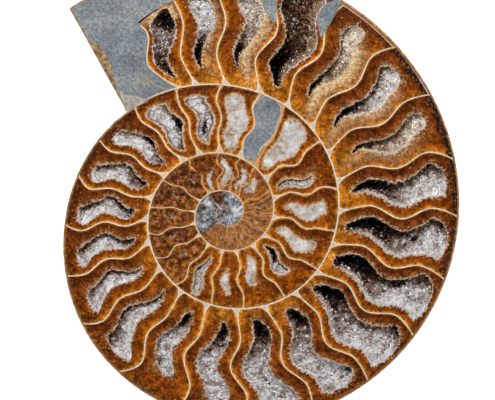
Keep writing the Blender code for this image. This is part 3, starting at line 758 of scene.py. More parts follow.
# the innermost chambers are chestnut with fine orange veins, or orange with finer lines
VEIN_BEND = 4.5 * MM      # how far a vein strays
vein = add_node(lining, "TexNoise", {"Vector": where, "Scale": 0.33 / MM, "Detail": 5.0, "Distortion": 1.8})
bent = add_node(lining, "VectorMath", [vein.outputs["Color"], (VEIN_BEND, VEIN_BEND, 0.0), where],
                operation="MULTIPLY_ADD")
cells = add_node(lining, "TexVoronoi", {"Vector": bent, "Scale": 0.3 / MM}, feature="DISTANCE_TO_EDGE",
                 voronoi_dimensions="2D")
chestnut = add_node(lining, "ValToRGB", [mottle], stops=[
    (0.34, "2A120A"), (0.45, "482216"), (0.56, "5E3422"), (0.64, "84583E"), (0.74, "B49682")])
orange = add_node(lining, "ValToRGB", [mottle], stops=[
    (0.34, "5A260C"), (0.46, "804414"), (0.56, "9A5C24"), (0.66, "B4845A"), (0.76, "CCB098")])
# painted light: the marble is painted more orange where it faces the light
amber_side = add_node(lining, "Math", [side, 0.25, get["amber"]], operation="MULTIPLY_ADD",
                      use_clamp=True)
marble = add_node(lining, "Mix", [amber_side, chestnut, orange], data_type="RGBA")
vein_line = add_node(lining, "MapRange", [cells, 0.075, 0.02, 0.0, 0.8])
vein_place = add_node(lining, "MapRange", [patch, 0.36, 0.46])
vein_share = add_node(lining, "Math", [vein_line, vein_place], operation="MULTIPLY")
veined = add_node(lining, "Mix", [vein_share, marble, "C27C36"], data_type="RGBA")
# a gold band along each wall, wider where the calcite is orange
wall_wave = add_node(lining, "Math", [columns, 1.3, get["rim"]], operation="MULTIPLY_ADD")
wall_band = add_node(lining, "MapRange", [wall_wave, 1.5, 0.8])
band_share = add_node(lining, "Math", [get["amber"], 0.6, 0.2], operation="MULTIPLY_ADD")
band_here = add_node(lining, "Math", [wall_band, band_share], operation="MULTIPLY")
banded = add_node(lining, "Mix", [band_here, veined, "BE7420"], data_type="RGBA")
marbled_dark = add_node(lining, "Mix", [1.0, banded, mottles], data_type="RGBA", blend_type="MULTIPLY")
striped = add_node(lining, "Math", [vein, 0.9, get["stripe"]], operation="MULTIPLY_ADD")
stripe_place = add_node(lining, "Math", [striped, 0.5], operation="PINGPONG")
stripe_line = add_node(lining, "MapRange", [stripe_place, 0.09, 0.03, 0.0, 0.6])
is_striped = add_node(lining, "Math", [get["stripe"], 0.5, 0.0005], operation="COMPARE")
no_stripe = add_node(lining, "Math", [1.0, is_striped], operation="SUBTRACT")
stripe_share = add_node(lining, "Math", [stripe_line, no_stripe], operation="MULTIPLY")
grey_line = add_node(lining, "MapRange", [stripe_place, 0.28, 0.44, 0.0, 0.7])
grey_share = add_node(lining, "Math", [grey_line, no_stripe], operation="MULTIPLY")
grey_lined = add_node(lining, "Mix", [grey_share, marbled_dark, "9A7C68"], data_type="RGBA")
marble_lined = add_node(lining, "Mix", [stripe_share, grey_lined, "DDA868"], data_type="RGBA")
inward = add_node(lining, "MapRange", [get["tone"], 0.0, -1.0, 0.0, 0.8])
core_shows = add_node(lining, "Math", [core_mask, -0.8, 1.0], operation="MULTIPLY_ADD")
inward_share = add_node(lining, "Math", [inward, core_shows], operation="MULTIPLY")
marbled = add_node(lining, "Mix", [inward_share, cored, marble_lined], data_type="RGBA")
honey_place = add_node(lining, "MapRange", [band, 0.22, 0.7, 0.15, 0.95])
honey = add_node(lining, "Math", [get["tone"], honey_place], operation="MULTIPLY", use_clamp=True)
honey_grain = add_node(lining, "Mix", [0.5, mottle, grain])
honey_colour = add_node(lining, "ValToRGB", [honey_grain], stops=[
    (0.36, "B88444"), (0.46, "D8AC6C"), (0.53, "E6C898"), (0.62, "F4E6CC")])
paled = add_node(lining, "Mix", [honey, marbled, honey_colour], data_type="RGBA")
set_inputs(lining, shader, {"Base Color": paled, "Roughness": 0.16, "IOR": 1.5})

rng = random.Random(11)
outlines = {}
groups = (("inner_whorl_linings", -480, -209.5), ("second_whorl_linings", -209.5, 130.0),
          ("last_whorl_linings_1", 130.0, 256.0), ("last_whorl_linings_2", 256.0, 363.0),
          ("last_whorl_linings_3", 363.0, 477.0))
for name, low, high in groups:
    sink = {key: [] for key in ("points", "faces", *LINING_KEYS)}
    for pair in zip(SEPTA, SEPTA[1:]):
        if low <= pair[0][0] < high:
            outlines[pair[0][0]] = chamber_piece(pair, rng, sink)
    points, faces = sink.pop("points"), sink.pop("faces")
    make_piece(name, points, faces, lining, "brown_calcite", **sink)

# ---------------------------------------------------------------------------------------------
# Septa and whorl walls: the shell's own thin partitions, turned to cream calcite, cut edge on. Each
# septum spreads into a small foot where it stands on the wall inside it.
# ---------------------------------------------------------------------------------------------
cream, shader = new_material("cream_shell_calcite")
where = add_node(cream, "TexCoord").outputs["Object"]
cross = add_node(cream, "Attribute", attribute_name="cross").outputs["Fac"]
young = add_node(cream, "Attribute", attribute_name="young").outputs["Fac"]
edge = add_node(cream, "Attribute", attribute_name="edge").outputs["Fac"]
cloud = add_node(cream, "TexNoise", {"Vector": where, "Scale": 0.9 / MM, "Detail": 4.0, "Roughness": 0.65})
inward = add_node(cream, "Math", [cloud, 0.16, edge], operation="MULTIPLY_ADD")
by_edge = add_node(cream, "ValToRGB", [inward], stops=[
    (0.06, "C08A58"), (0.13, "E6C8A6"), (0.2, "F8EADA"), (0.36, "EADCCA"), (0.62, "D8C8B4")])
speckle = add_node(cream, "MapRange", [cloud, 0.34, 0.6, 0.78, 1.05])
tint = add_node(cream, "Mix", [1.0, by_edge, speckle], data_type="RGBA", blend_type="MULTIPLY")
wavy = add_node(cream, "Math", [cloud, 0.35, cross], operation="MULTIPLY_ADD")
line = add_node(cream, "MapRange", [wavy, 0.56, 0.42])
lined = add_node(cream, "Mix", [line, tint, "6E421E"], data_type="RGBA")
aged = add_node(cream, "Mix", [young, lined, "CE9258"], data_type="RGBA")
set_inputs(cream, shader, {"Base Color": aged, "Roughness": 0.2, "IOR": 1.5})
SEAM = 0.12           # how far the partitions reach in under the linings
SEPTUM_LINES = 5      # points across a septum


def youth(angle):
    """How young a part of the shell is: the septa of the first whorls are orange more than cream."""
    return 0.18 + 0.57 * (1 - smooth((angle + 250) / 60)) - 0.14 * smooth((angle - 100) / 40)


points, faces, edges, youths = [], [], [], []
for number in range(1, len(SEPTA)):
    septum = SEPTA[number]
    before = (SEPTA[number - 1], septum)
    after = (septum, SEPTA[number + 1]) if number + 1 < len(SEPTA) else None
    places = side_places(*before)
    if not after:
        places = [along for along in places if along < 0.72]
    base = len(points)
    for along in places:
        inset = side_inset(septum, along, before)
        wide = math.dist(chamber_point(*before, 0.0, along), chamber_point(*before, 1.0, along))
        left, left_edge = (chamber_point(*before, 1 - inset - under / wide, along) for under in (SEAM, 0.0))
        middle = chamber_point(*before, 1.0, along)
        if after:
            inset = side_inset(septum, along, after)
            wide = math.dist(chamber_point(*after, 0.0, along), chamber_point(*after, 1.0, along))
            right, right_edge = (chamber_point(*after, inset + under / wide, along) for under in (SEAM, 0.0))
        else:
            right, right_edge = ((2 * middle[0] - at[0], 2 * middle[1] - at[1]) for at in (left, left_edge))
        points += [(*at, HALF_THICKNESS - 0.02) for at in (left, left_edge, middle, right_edge, right)]
        edges += [0.0, 0.0, math.dist(left_edge, right_edge) / 2, 0.0, 0.0]
        stained = 0.85 if septum[0] == MUD_CHAMBER else 0.6 * smooth((along - 0.82) / 0.18)
        youths += [max(youth(septum[0]), stained)] * SEPTUM_LINES
    faces += quads(numbered(len(places), SEPTUM_LINES, base))
crosses = [0.6] * len(points)
make_piece("septa", points, faces, cream, "brown_calcite", cross=crosses, edge=edges, young=youths)

points, crosses, youths = [], [], []
WALL_COLUMN = 1.0                    # degrees from one row of points to the next
WALL_LINES = (0.0, 0.25, 0.4, 1.0)   # places of the points across the wall
INNER_WALL_START = -840
steps = round((APERTURE - TURN + 6 - INNER_WALL_START) / WALL_COLUMN)
for k in range(steps + 1):
    angle = INNER_WALL_START + k * WALL_COLUMN
    half = WALL_WIDTH / 2 * thinner(angle) + SEAM
    for place in WALL_LINES:
        points.append((*plan(angle, wall_radius(angle) + (2 * place - 1) * half), HALF_THICKNESS - 0.04))
        crosses.append(place)
        youths.append(0.4 * youth(angle) + 0.1)
faces = quads(numbered(steps + 1, len(WALL_LINES)), flipped=True)
edges = [0.15] * len(points)
make_piece("whorl_wall", points, faces, cream, "brown_calcite", cross=crosses, edge=edges, young=youths)

# ---------------------------------------------------------------------------------------------
# The outer wall: the thicker last turn of the shell, cut edge on. Its layers run from cream through
# brown to a tan crust outside, worn here and there.
# ---------------------------------------------------------------------------------------------
rim_skin, shader = new_material("tan_outer_shell")
where = add_node(rim_skin, "TexCoord").outputs["Object"]
cloud = add_node(rim_skin, "TexNoise", {"Vector": where, "Scale": 0.7 / MM, "Detail": 5.0, "Roughness": 0.7})
cross = add_node(rim_skin, "Attribute", attribute_name="cross").outputs["Fac"]
wavy = add_node(rim_skin, "Math", [cloud, 0.4, cross], operation="MULTIPLY_ADD")
layers = add_node(rim_skin, "ValToRGB", [wavy], stops=[
    (0.14, "E0D0C4"), (0.24, "AC8468"), (0.38, "6E4218"), (0.66, "A46C2C"), (0.86, "B98450"),
    (1.0, "D8B690")])
worn = add_node(rim_skin, "MapRange", [cloud, 0.36, 0.62, 0.5, 1.42])
tint = add_node(rim_skin, "Mix", [1.0, layers, worn], data_type="RGBA", blend_type="MULTIPLY")
set_inputs(rim_skin, shader, {"Base Color": tint, "Roughness": 0.35})
points, crosses = [], []
steps = round(TURN / WALL_COLUMN)
for k in range(steps + 1):
    angle = APERTURE - TURN + k * WALL_COLUMN
    # from under the linings to a small bevel at the outer edge: offset, drop and place across
    for offset, drop, place in ((-shell_wall(angle) - 0.2, 0.03, -0.25), (-0.12, 0.03, 0.75),
                                (0.0, 0.15, 0.9)):
        points.append((*plan(angle, wall_radius(angle) + offset), HALF_THICKNESS - drop))
        crosses.append(place)
faces = quads(numbered(steps + 1, 3), flipped=True)
make_piece("outer_shell_rim", points, faces, rim_skin, "brown_calcite", cross=crosses)

# ---------------------------------------------------------------------------------------------
# The core: the first turns of the shell, filled with grey-white crystals that grew towards their
# middle. A cream wall winds in to a dark first chamber, and brown calcite fills the gaps.
# ---------------------------------------------------------------------------------------------
core_stone, shader = new_material("grey_core_crystals")
where = add_node(core_stone, "TexCoord").outputs["Object"]
spoke = add_node(core_stone, "Attribute", attribute_name="spoke").outputs["Vector"]
light = add_node(core_stone, "Attribute", attribute_name="light").outputs["Fac"]
rust = add_node(core_stone, "Attribute", attribute_name="rust").outputs["Fac"]
streaks = add_node(core_stone, "TexNoise", {"Vector": spoke, "Scale": 1.0, "Detail": 3.0,
                   "Roughness": 0.7})
grain = add_node(core_stone, "TexNoise", {"Vector": where, "Scale": 1.1 / MM, "Detail": 4.0,
                 "Roughness": 0.6})
mixed = add_node(core_stone, "Math", [streaks, grain], operation="ADD")
sharper = add_node(core_stone, "MapRange", [mixed, 0.72, 1.3])
level = add_node(core_stone, "Math", [light, 0.4, sharper], operation="MULTIPLY_ADD")
lightened = add_node(core_stone, "ValToRGB", [level], stops=[
    (0.05, "2A221E"), (0.3, "544E4A"), (0.55, "7E8184"), (0.8, "A8ADB2"), (1.0, "DCDFE3")])
vein = add_node(core_stone, "TexNoise", {"Vector": where, "Scale": 0.38 / MM, "Detail": 5.0,
                "Distortion": 1.6})
brown_level = add_node(core_stone, "Mix", [0.55, vein, grain])
browns = add_node(core_stone, "ValToRGB", [brown_level], stops=[
    (0.34, "241008"), (0.47, "4E2A18"), (0.54, "7E5030"), (0.62, "5A3A28"), (0.74, "A08C7C")])
ambers = add_node(core_stone, "ValToRGB", [brown_level], stops=[
    (0.36, "4E240E"), (0.45, "7E441A"), (0.52, "A06430"), (0.6, "A08068"), (0.7, "C4B4A6")])
warm = add_node(core_stone, "Mix", [light, browns, ambers], data_type="RGBA")
rusted = add_node(core_stone, "Mix", [rust, lightened, warm], data_type="RGBA")
set_inputs(core_stone, shader, {"Base Color": rusted, "Roughness": 0.2})
# soft-edged patches: place, radius, then how much light or rust each adds
LIGHT_PATCHES = [
    (-7.0, -2.2, 2.2, 0.3), (-6.6, -5.4, 1.9, 0.75), (-8.3, -7.6, 1.7, 0.6), (-7.0, -3.9, 1.4, 0.35),
    (-14.3, -2.2, 1.3, 0.55), (-14.6, -5.2, 1.6, 0.3), (-14.6, -8.4, 1.7, 0.15), (-9.2, -1.0, 1.2, 0.1),
    (-10.3, -4.9, 1.7, -1.0), (-12.6, -6.6, 0.7, -0.7), (-15.9, -4.9, 0.7, -0.7), (-10.5, -7.4, 0.8, -0.6),
    (-12.4, -3.4, 0.7, -0.5), (-9.2, -6.5, 0.5, -0.6)]
RUST_PATCHES = [
    (-12.2, -0.4, 2.1, 1.0), (-11.0, -2.0, 1.2, 0.9), (-15.7, -3.6, 1.1, 0.8), (-10.2, -4.7, 0.6, 0.8),
    (-16.5, -6.5, 0.7, 0.5), (-9.4, 0.3, 1.2, 0.4)]
GREY_LOW_EDGE = [
    (-17.6, -11.0), (-16.76, -10.88), (-15.31, -10.47), (-14.28, -9.64), (-12.83, -9.23), (-11.80, -8.19),
    (-11.0, -8.2), (-4.0, -12.0)]


def patch_sum(patches, place):
    """What all the patches together add at a place."""
    return sum(amount * (1 - smooth(math.dist(place, middle) / radius - 0.35))
               for *middle, radius, amount in patches)


def low_edge(x):
    """How far down the grey crystals reach at a place across."""
    for (ax, ay), (bx, by) in zip(GREY_LOW_EDGE, GREY_LOW_EDGE[1:]):
        if ax <= x <= bx:
            return ay + (by - ay) * (x - ax) / (bx - ax)
    return -20.0      # below all of the core


points, faces, spokes, lights, rusts = [], [], [], [], []
rings, columns = 26, 180
CORE_DROP = 0.03          # it ends a little under the wall and below the linings
CORE_INSET = 0.2
HEART = (-8.9, -5.5)      # the crystals grew towards this place
for k in range(columns + 5):
    angle = SEPTA[0][0] - TURN + TURN * k / columns
    inside = wall_radius(angle - TURN) - CORE_INSET if k > columns else 0.0
    for ring in range(rings + 1):
        x, y = plan(angle, inside + (wall_radius(angle) - CORE_INSET - inside) * ring / rings)
        points.append((x, y, HALF_THICKNESS - CORE_DROP))
        turned = math.atan2(y - HEART[1], x - HEART[0])
        spokes.append((6.0 * math.cos(turned), 6.0 * math.sin(turned), 0.6 * math.dist((x, y), HEART)))
        below = smooth((low_edge(x) - y) / 0.25 + 0.5)
        lights.append(max(patch_sum(LIGHT_PATCHES, (x, y)), below))
        rusts.append(min(1.0, max(below, patch_sum(RUST_PATCHES, (x, y)))))
for k in range(columns + 4):
    a, b = k * (rings + 1), (k + 1) * (rings + 1)
    faces.append((a, a + 1, b + 1) if k < columns else (a, a + 1, b + 1, b))
    faces += [(a + ring, a + ring + 1, b + ring + 1, b + ring) for ring in range(1, rings)]
make_piece("core", points, faces, core_stone, "white_crystals", spoke=spokes, light=lights, rust=rusts)


def refined(line, closed=False):
    """Points on a smooth curve through the points of a line, eight for each stretch of it."""
    last = len(line) - 1
    fine = []
    for k in range(last + closed):
        near = (k + step for step in (-1, 0, 1, 2))
        a, b, c, d = (Vector(line[at % (last + 1) if closed else min(max(at, 0), last)]) for at in near)
        fine += [smooth_curve(a, b, c, d, step / 8) for step in range(8)]
    return fine if closed else [*fine, Vector(line[last])]


def ribbon(name, line, width, height, material, slot, **values):
    """A thin flush strip along a smooth line through a few points."""
    fine = refined(line)
    points = []
    for k, at in enumerate(fine):
        ahead = fine[min(k + 1, len(fine) - 1)] - fine[max(k - 1, 0)]
        aside = Vector((-ahead.y, ahead.x)).normalized() * width / 2
        points += [(at.x + aside.x, at.y + aside.y, HALF_THICKNESS + height),
                   (at.x - aside.x, at.y - aside.y, HALF_THICKNESS + height)]
    faces = [(2 * k + 1, 2 * k + 3, 2 * k + 2, 2 * k) for k in range(len(fine) - 1)]
    attributes = {key: [value] * len(points) for key, value in values.items()}
    return make_piece(name, points, faces, material, slot, **attributes)


CORE_WALL = [
    (-4.85, -5.30), (-5.18, -6.54), (-6.01, -7.78), (-7.25, -8.69), (-8.70, -9.10), (-10.14, -8.61),
    (-11.38, -7.57), (-12.09, -6.13), (-12.00, -4.68), (-11.38, -3.73), (-10.35, -3.31), (-9.23, -3.56),
    (-8.49, -4.55)]
ribbon("core_wall", CORE_WALL, 0.22, 0.02, cream, "brown_calcite", cross=0.6, edge=0.0, young=0.5)
ribbon("core_dark_edge", GREY_LOW_EDGE[1:6], 0.22, 0.02, rim_skin, "brown_calcite", cross=0.25)

# ---------------------------------------------------------------------------------------------
# Druse: small blunt calcite crystals that grew on the floor and walls of each hollow, and out over
# its lip. They are frosty where they are shallow and brown to black at the bottom, partly their own
# colour and partly painted shade; they are painted darker under the overhung lip and whiter along
# the sunlit lip.
# ---------------------------------------------------------------------------------------------
# a hollow's cross section, from its sunlit lip to the overhung one: place across and depth
ASIDE = [(0.0, 0.0), (0.05, 0.05), (0.12, 0.13), (0.2, 0.24), (0.3, 0.38), (0.41, 0.54), (0.53, 0.70),
         (0.66, 0.84), (0.80, 0.95), (0.94, 1.0), (1.03, 0.85), (1.06, 0.5), (1.03, 0.16), (1.0, 0.0)]
UPRIGHT = [(0.0, 0.0), (-0.01, 0.18), (0.01, 0.42), (0.06, 0.66), (0.15, 0.84), (0.28, 0.95), (0.43, 1.0),
           (0.57, 1.0), (0.72, 0.95), (0.85, 0.84), (0.94, 0.66), (0.99, 0.42), (1.01, 0.18), (1.0, 0.0)]
# pits in a hollow's floor, cut deeper and painted dark as painted shade: place across and along,
# then half its width and half its length
SPOTS = {96.0: (0.48, 0.36, 0.10, 0.13), 114.5: (0.30, 0.48, 0.11, 0.13), 131.0: (0.31, 0.50, 0.09, 0.10),
         -122.5: (0.39, 0.46, 0.05, 0.05), -49.5: (0.50, 0.31, 0.16, 0.13), 330.5: (0.65, 0.64, 0.12, 0.05),
         347.5: (0.50, 0.66, 0.07, 0.03), 313.0: (0.83, 0.85, 0.07, 0.05), 295.0: (0.80, 0.80, 0.05, 0.04),
         466.0: (0.36, 0.60, 0.34, 0.12)}
CRYSTALS_PER_MM2 = 4.6
DIM = {-122.5: 0.8, -49.5: 0.85, 20.5: 0.85, 424.0: 0.5, 466.0: 0.75}    # how frosty the darker ones are
LIP_CRYSTAL_STEP = 0.42

druse, shader = new_material("sugary_calcite_druse")
frost = add_node(druse, "Attribute", attribute_name="frost").outputs["Fac"]
tan = add_node(druse, "Attribute", attribute_name="tan").outputs["Fac"]
where = add_node(druse, "TexCoord").outputs["Object"]
grain = add_node(druse, "TexNoise", {"Vector": where, "Scale": 1.2 / MM, "Detail": 2.0})
# the attribute carries painted shade and light: black deep in the hollows and under the overhung lip, whiter
# along the sunlit lip
level = add_node(druse, "Math", [grain, 0.36, frost], operation="MULTIPLY_ADD")
tint = add_node(druse, "ValToRGB", [level], stops=[
    (0.12, "0E0502"), (0.26, "2E160A"), (0.4, "5E3C2A"), (0.56, "8C7264"), (0.74, "AEA4A0"),
    (0.96, "E6E4E4")])
tan_tint = add_node(druse, "ValToRGB", [level], stops=[
    (0.12, "0E0502"), (0.3, "3A1E08"), (0.48, "8E6630"), (0.7, "BC9860"), (1.0, "E4D4B4")])
tanned = add_node(druse, "Mix", [tan, tint, tan_tint], data_type="RGBA")
set_inputs(druse, shader, {"Base Color": tanned, "Roughness": 0.12, "IOR": 1.5})

# one crystal: a blunt four-sided prism with a low pyramid on top, open below
bpy.ops.object.select_all(action="DESELECT")
bpy.ops.mesh.primitive_cone_add(vertices=4, radius1=0.5, radius2=0.36, depth=0.6, location=(0, 0, 0))
crystal = bpy.context.object
bpy.ops.object.mode_set(mode="EDIT")
bpy.ops.mesh.select_all(action="DESELECT")
bpy.ops.object.mode_set(mode="OBJECT")
for polygon in crystal.data.polygons:
    polygon.select = polygon.normal.z > 0.9
bpy.ops.object.mode_set(mode="EDIT")
bpy.ops.mesh.poke(offset=0.24)
bpy.ops.object.mode_set(mode="OBJECT")
crystal_points = [vertex.co.copy() for vertex in crystal.data.vertices]
crystal_faces = [tuple(polygon.vertices) for polygon in crystal.data.polygons if polygon.normal.z > -0.9]
bpy.data.objects.remove(crystal)


def septa_of(crest):
    """The two septa of a chamber, by the crest of the first."""
    return next(pair for pair in zip(SEPTA, SEPTA[1:]) if pair[0][0] == crest)


def hollow_floor(crest, lip, lip_at, lit):
    """Rows of (x, y, z, frost with painted shade and light, tan) over a hollow's floor and walls, which end
    at its lip all round.
    """
    depth, painted_black_to, white_from, tan_share = HOLLOWS[crest]
    steep = min(1.0, abs(lit) * 1.4)
    grid = []
    for k, row in enumerate(crosswise(lip)):
        place = k / (SIDE - 1)
        along = lip_at[row[0]][1]
        # painted shade: the crystals are painted black at the inner end of the hollow, then brown, then white
        pale = smooth((along - painted_black_to) / (white_from - painted_black_to))
        brown = smooth((along - painted_black_to + 0.08) / 0.20)
        deep = depth * (0.85 - 0.25 * brown - 0.28 * pale)
        ramp = smooth(place / 0.06) * smooth((1 - place) / 0.16)
        left, right = lip[row[0]], lip[row[-1]]
        found = []
        for j, index in enumerate(row):
            aside = ASIDE[j] if lit > 0 else (1 - ASIDE[END + 1 - j][0], ASIDE[END + 1 - j][1])
            q = steep * aside[0] + (1 - steep) * UPRIGHT[j][0]
            q += (1 - ramp) * (min(1.0, max(0.0, q)) - q)
            low = steep * aside[1] + (1 - steep) * UPRIGHT[j][1]
            x, y = blend(left, right, q)
            lump = 1 + 0.35 * noise.noise(Vector((x * 0.7, y * 0.7, 3.0)))
            z = min(0.98 * depth, deep * low * ramp * lump)
            if index is not None:
                x, y, z = *lip[index], 0.0
            else:
                z += 0.3 * noise.noise(Vector((x * 2.0, y * 2.0, 7.0)))
            shaded = 1 - q if lit > 0 else q      # 0 at the overhung lip, 1 at the sunlit one
            shaded = 1 - steep * (1 - shaded) if steep < 1 else shaded
            cloud = (noise.noise(Vector((x * 0.5, y * 0.5, 11.0)))
                     + 0.6 * noise.noise(Vector((x * 1.3, y * 1.3, 4.0))))
            # painted shadow: darker under the overhung lip
            overhung = (0.7 - 0.5 * tan_share) * steep * (1 - smooth(shaded / 0.5))
            shade = (0.30 * brown + 0.36 * pale) * (1 - overhung) + 0.26 * cloud * brown
            shade *= DIM.get(crest, 1.0)
            if crest < LAST_WHORL:
                shade *= 0.55 + 0.55 * smooth(min(q, 1 - q) / 0.3)
            across = lip_at[row[0]][0] + q * (lip_at[row[-1]][0] - lip_at[row[0]][0])
            # a pit is cut deeper, and its shade is painted dark on its crystals
            if crest in SPOTS:
                ax, ay, aw, ah = SPOTS[crest]
                spot = 1 - smooth(math.hypot((across - ax) / aw, (along - ay) / ah) - 0.4)
                shade -= 0.75 * spot
                z += 1.6 * spot * ramp
            # painted light: a whiter band along the sunlit lip
            fringe = 0.62 * steep * smooth((shaded - 0.78) / 0.16) * smooth((place - 0.06) / 0.18)
            found.append((x, y, HALF_THICKNESS - max(0.0, z), max(shade, fringe, 0.0), tan_share))
        grid.append(found)
    return grid


for number, crest in enumerate(sorted(HOLLOWS), 1):
    rng = random.Random(100 + number)
    lip, wall, lip_at = outlines[crest]
    pair = septa_of(crest)
    towards = Vector(chamber_point(*pair, 0.8, 0.5)) - Vector(chamber_point(*pair, 0.2, 0.5))
    lit = towards.normalized().y   # +1 where the first septum's side is the sunlit one
    grid = hollow_floor(crest, lip, lip_at, lit)
    rows, columns = len(grid), len(grid[0])
    points = [at[:3] for row in grid for at in row]
    frosts = [at[3] for row in grid for at in row]
    tans = [at[4] for row in grid for at in row]
    faces = quads(numbered(rows, columns))
    small = 0.72 + 0.28 * min(1.0, wall_radius(crest) / 55)
    cells, areas = [], []
    for k in range(rows - 1):
        for j in range(columns - 1):
            corners = grid[k][j], grid[k + 1][j], grid[k][j + 1], grid[k + 1][j + 1]
            a, b, c, d = (Vector(corner[:3]) for corner in corners)
            cells.append((k, j, a, b, c, d))
            areas.append(((b - a).cross(c - a).length + (b - d).cross(c - d).length) / 2)
    settled = []
    for k, j, a, b, c, d in rng.choices(cells, areas, k=round(sum(areas) * CRYSTALS_PER_MM2 / small ** 2)):
        u, v = rng.random(), rng.random()
        place = a * (1 - u) * (1 - v) + b * u * (1 - v) + c * (1 - u) * v + d * u * v
        normal = (b - a).cross(c - a) + (c - d).cross(b - d)
        if normal.length < 1e-6:
            continue
        normal.normalize()
        if normal.z < 0 and abs(normal.z) > 0.3:
            normal = -normal
        low = HALF_THICKNESS - place.z
        size = (0.50 + 0.90 * rng.random() ** 2.4) * small
        lean = Vector((rng.gauss(0, 0.28), rng.gauss(0, 0.28), rng.gauss(0, 0.2)))
        if low < 0.9 * size:
            size *= 0.6
            axis = (normal + lean * 0.5 + Vector((0, 0, 0.2))).normalized()
        else:
            axis = (normal + lean + Vector((0, 0, 0.35))).normalized()
        at = grid[k][j]
        shade = at[3] + rng.gauss(0, 0.09)
        # a few crystals are painted brighter, as painted glints, and a few darker
        if rng.random() < 0.09:
            shade += rng.uniform(0.15, 0.45)
        elif rng.random() < 0.08:
            shade -= 0.25
        settled.append((place, axis, size, shade, at[4]))
    # crystals that stick out under the lip: tan on the overhung side, frosty on the sunlit one; they
    # are painted lighter on the sunlit side and darker at the inner tip, as painted light and shade
    walked = 0.0
    for k in range(len(lip)):
        walked += math.dist(lip[k], lip[k - 1])
        if walked < LIP_CRYSTAL_STEP * small * rng.uniform(0.7, 1.3):
            continue
        walked = 0.0
        inward = Vector((lip[k][0] - wall[k][0], lip[k][1] - wall[k][1], 0.0)).normalized()
        over = 0.5 - 0.5 * inward.y * 1.2     # 1 where the lip faces away from the light
        size = rng.uniform(0.42, 0.85) * small
        place = Vector((*lip[k], HALF_THICKNESS - rng.uniform(0.25, 0.5))) - inward * 0.12
        lean = Vector((rng.gauss(0, 0.3), rng.gauss(0, 0.3), rng.uniform(-0.4, 0.1)))
        axis = (inward + lean).normalized()
        tip = 1 - smooth((lip_at[k][1] - lip_at[0][1]) / 0.14)
        shade = 0.52 + 0.16 * (1 - over) - 0.22 * tip + rng.gauss(0, 0.10)
        settled.append((place, axis, size, shade, min(1.0, max(0.0, 0.15 + 0.7 * over + 0.6 * tip))))
    for place, axis, size, shade, tan_share in settled:
        turn = axis.to_track_quat("Z", "Y").to_matrix()
        spin = rng.uniform(0, math.tau)
        base = len(points)
        for corner in crystal_points:
            x = corner.x * math.cos(spin) - corner.y * math.sin(spin)
            y = corner.x * math.sin(spin) + corner.y * math.cos(spin)
            moved = place + turn @ Vector((x * size, y * size, corner.z * size * 0.9))
            points.append((moved.x, moved.y, min(moved.z, HALF_THICKNESS - 0.04)))
        frosts += [shade] * len(crystal_points)
        tans += [tan_share] * len(crystal_points)
        faces += [tuple(base + corner for corner in face) for face in crystal_faces]
    piece = make_piece(f"crystal_druse_{number:02d}", points, faces, druse, "white_crystals",
                       smooth_shaded=False, frost=frosts, tan=tans)
    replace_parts(piece, f"crystal_crust_{number:02d}")

# ---------------------------------------------------------------------------------------------
# Grey mudstone: the mud that filled the body chamber, the outer part of the last chamber and one
# chamber of the whorl inside it, ground flat with the rest. Dull, even, finely specked, cracked.
# ---------------------------------------------------------------------------------------------
mudstone, shader = new_material("grey_mudstone")
where = add_node(mudstone, "TexCoord").outputs["Object"]
cloud = add_node(mudstone, "TexNoise", {"Vector": where, "Scale": 0.12 / MM, "Detail": 5.0, "Roughness": 0.6})
tint = add_node(mudstone, "ValToRGB", [cloud], stops=[
    (0.32, "62686C"), (0.45, "767E84"), (0.55, "848B90"), (0.68, "92938F")])
grit = add_node(mudstone, "TexNoise", {"Vector": where, "Scale": 1.5 / MM, "Detail": 3.0,
                "Roughness": 0.75})
grits = add_node(mudstone, "MapRange", [grit, 0.32, 0.68, 0.42, 1.5])
# painted shade: it is darkest by the whorl wall, at the last septum
DARKEST_AT = (-19 * MM, 28.5 * MM, 18.5 * MM)
painted_shade_distance = add_node(mudstone, "VectorMath", [where, DARKEST_AT], operation="DISTANCE")
darker = add_node(mudstone, "MapRange", [painted_shade_distance, 4 * MM, 21 * MM, 0.6, 1.04])
grey = add_node(mudstone, "Math", [grits, darker], operation="MULTIPLY")
specked = add_node(mudstone, "Mix", [1.0, tint, grey], data_type="RGBA", blend_type="MULTIPLY")
sand = add_node(mudstone, "TexNoise", {"Vector": where, "Scale": 0.76 / MM, "Detail": 3.0, "Roughness": 0.7})
black_grain = add_node(mudstone, "MapRange", [sand, 0.37, 0.31, 0.0, 0.75])
blackened = add_node(mudstone, "Mix", [black_grain, specked, "2E3236"], data_type="RGBA")
beige_grain = add_node(mudstone, "MapRange", [sand, 0.63, 0.69, 0.0, 0.7])
beiged = add_node(mudstone, "Mix", [beige_grain, blackened, "B7A68C"], data_type="RGBA")
crack = add_node(mudstone, "TexVoronoi", {"Vector": where, "Scale": 0.062 / MM, "Randomness": 1.0},
                 feature="DISTANCE_TO_EDGE")
crack_break = add_node(mudstone, "Math", [cloud, 0.05], operation="MULTIPLY")
crack_width = add_node(mudstone, "Math", [crack, crack_break], operation="SUBTRACT")
cracks = add_node(mudstone, "MapRange", [crack_width, -0.012, -0.022, 0.0, 0.22])
cracked = add_node(mudstone, "Mix", [cracks, beiged, "B09A78"], data_type="RGBA")
grit_bump = add_node(mudstone, "Bump", {"Height": grit, "Strength": 0.25, "Distance": 0.1 * MM})
set_inputs(mudstone, shader, {"Base Color": cracked, "Normal": grit_bump, "Roughness": 0.6})


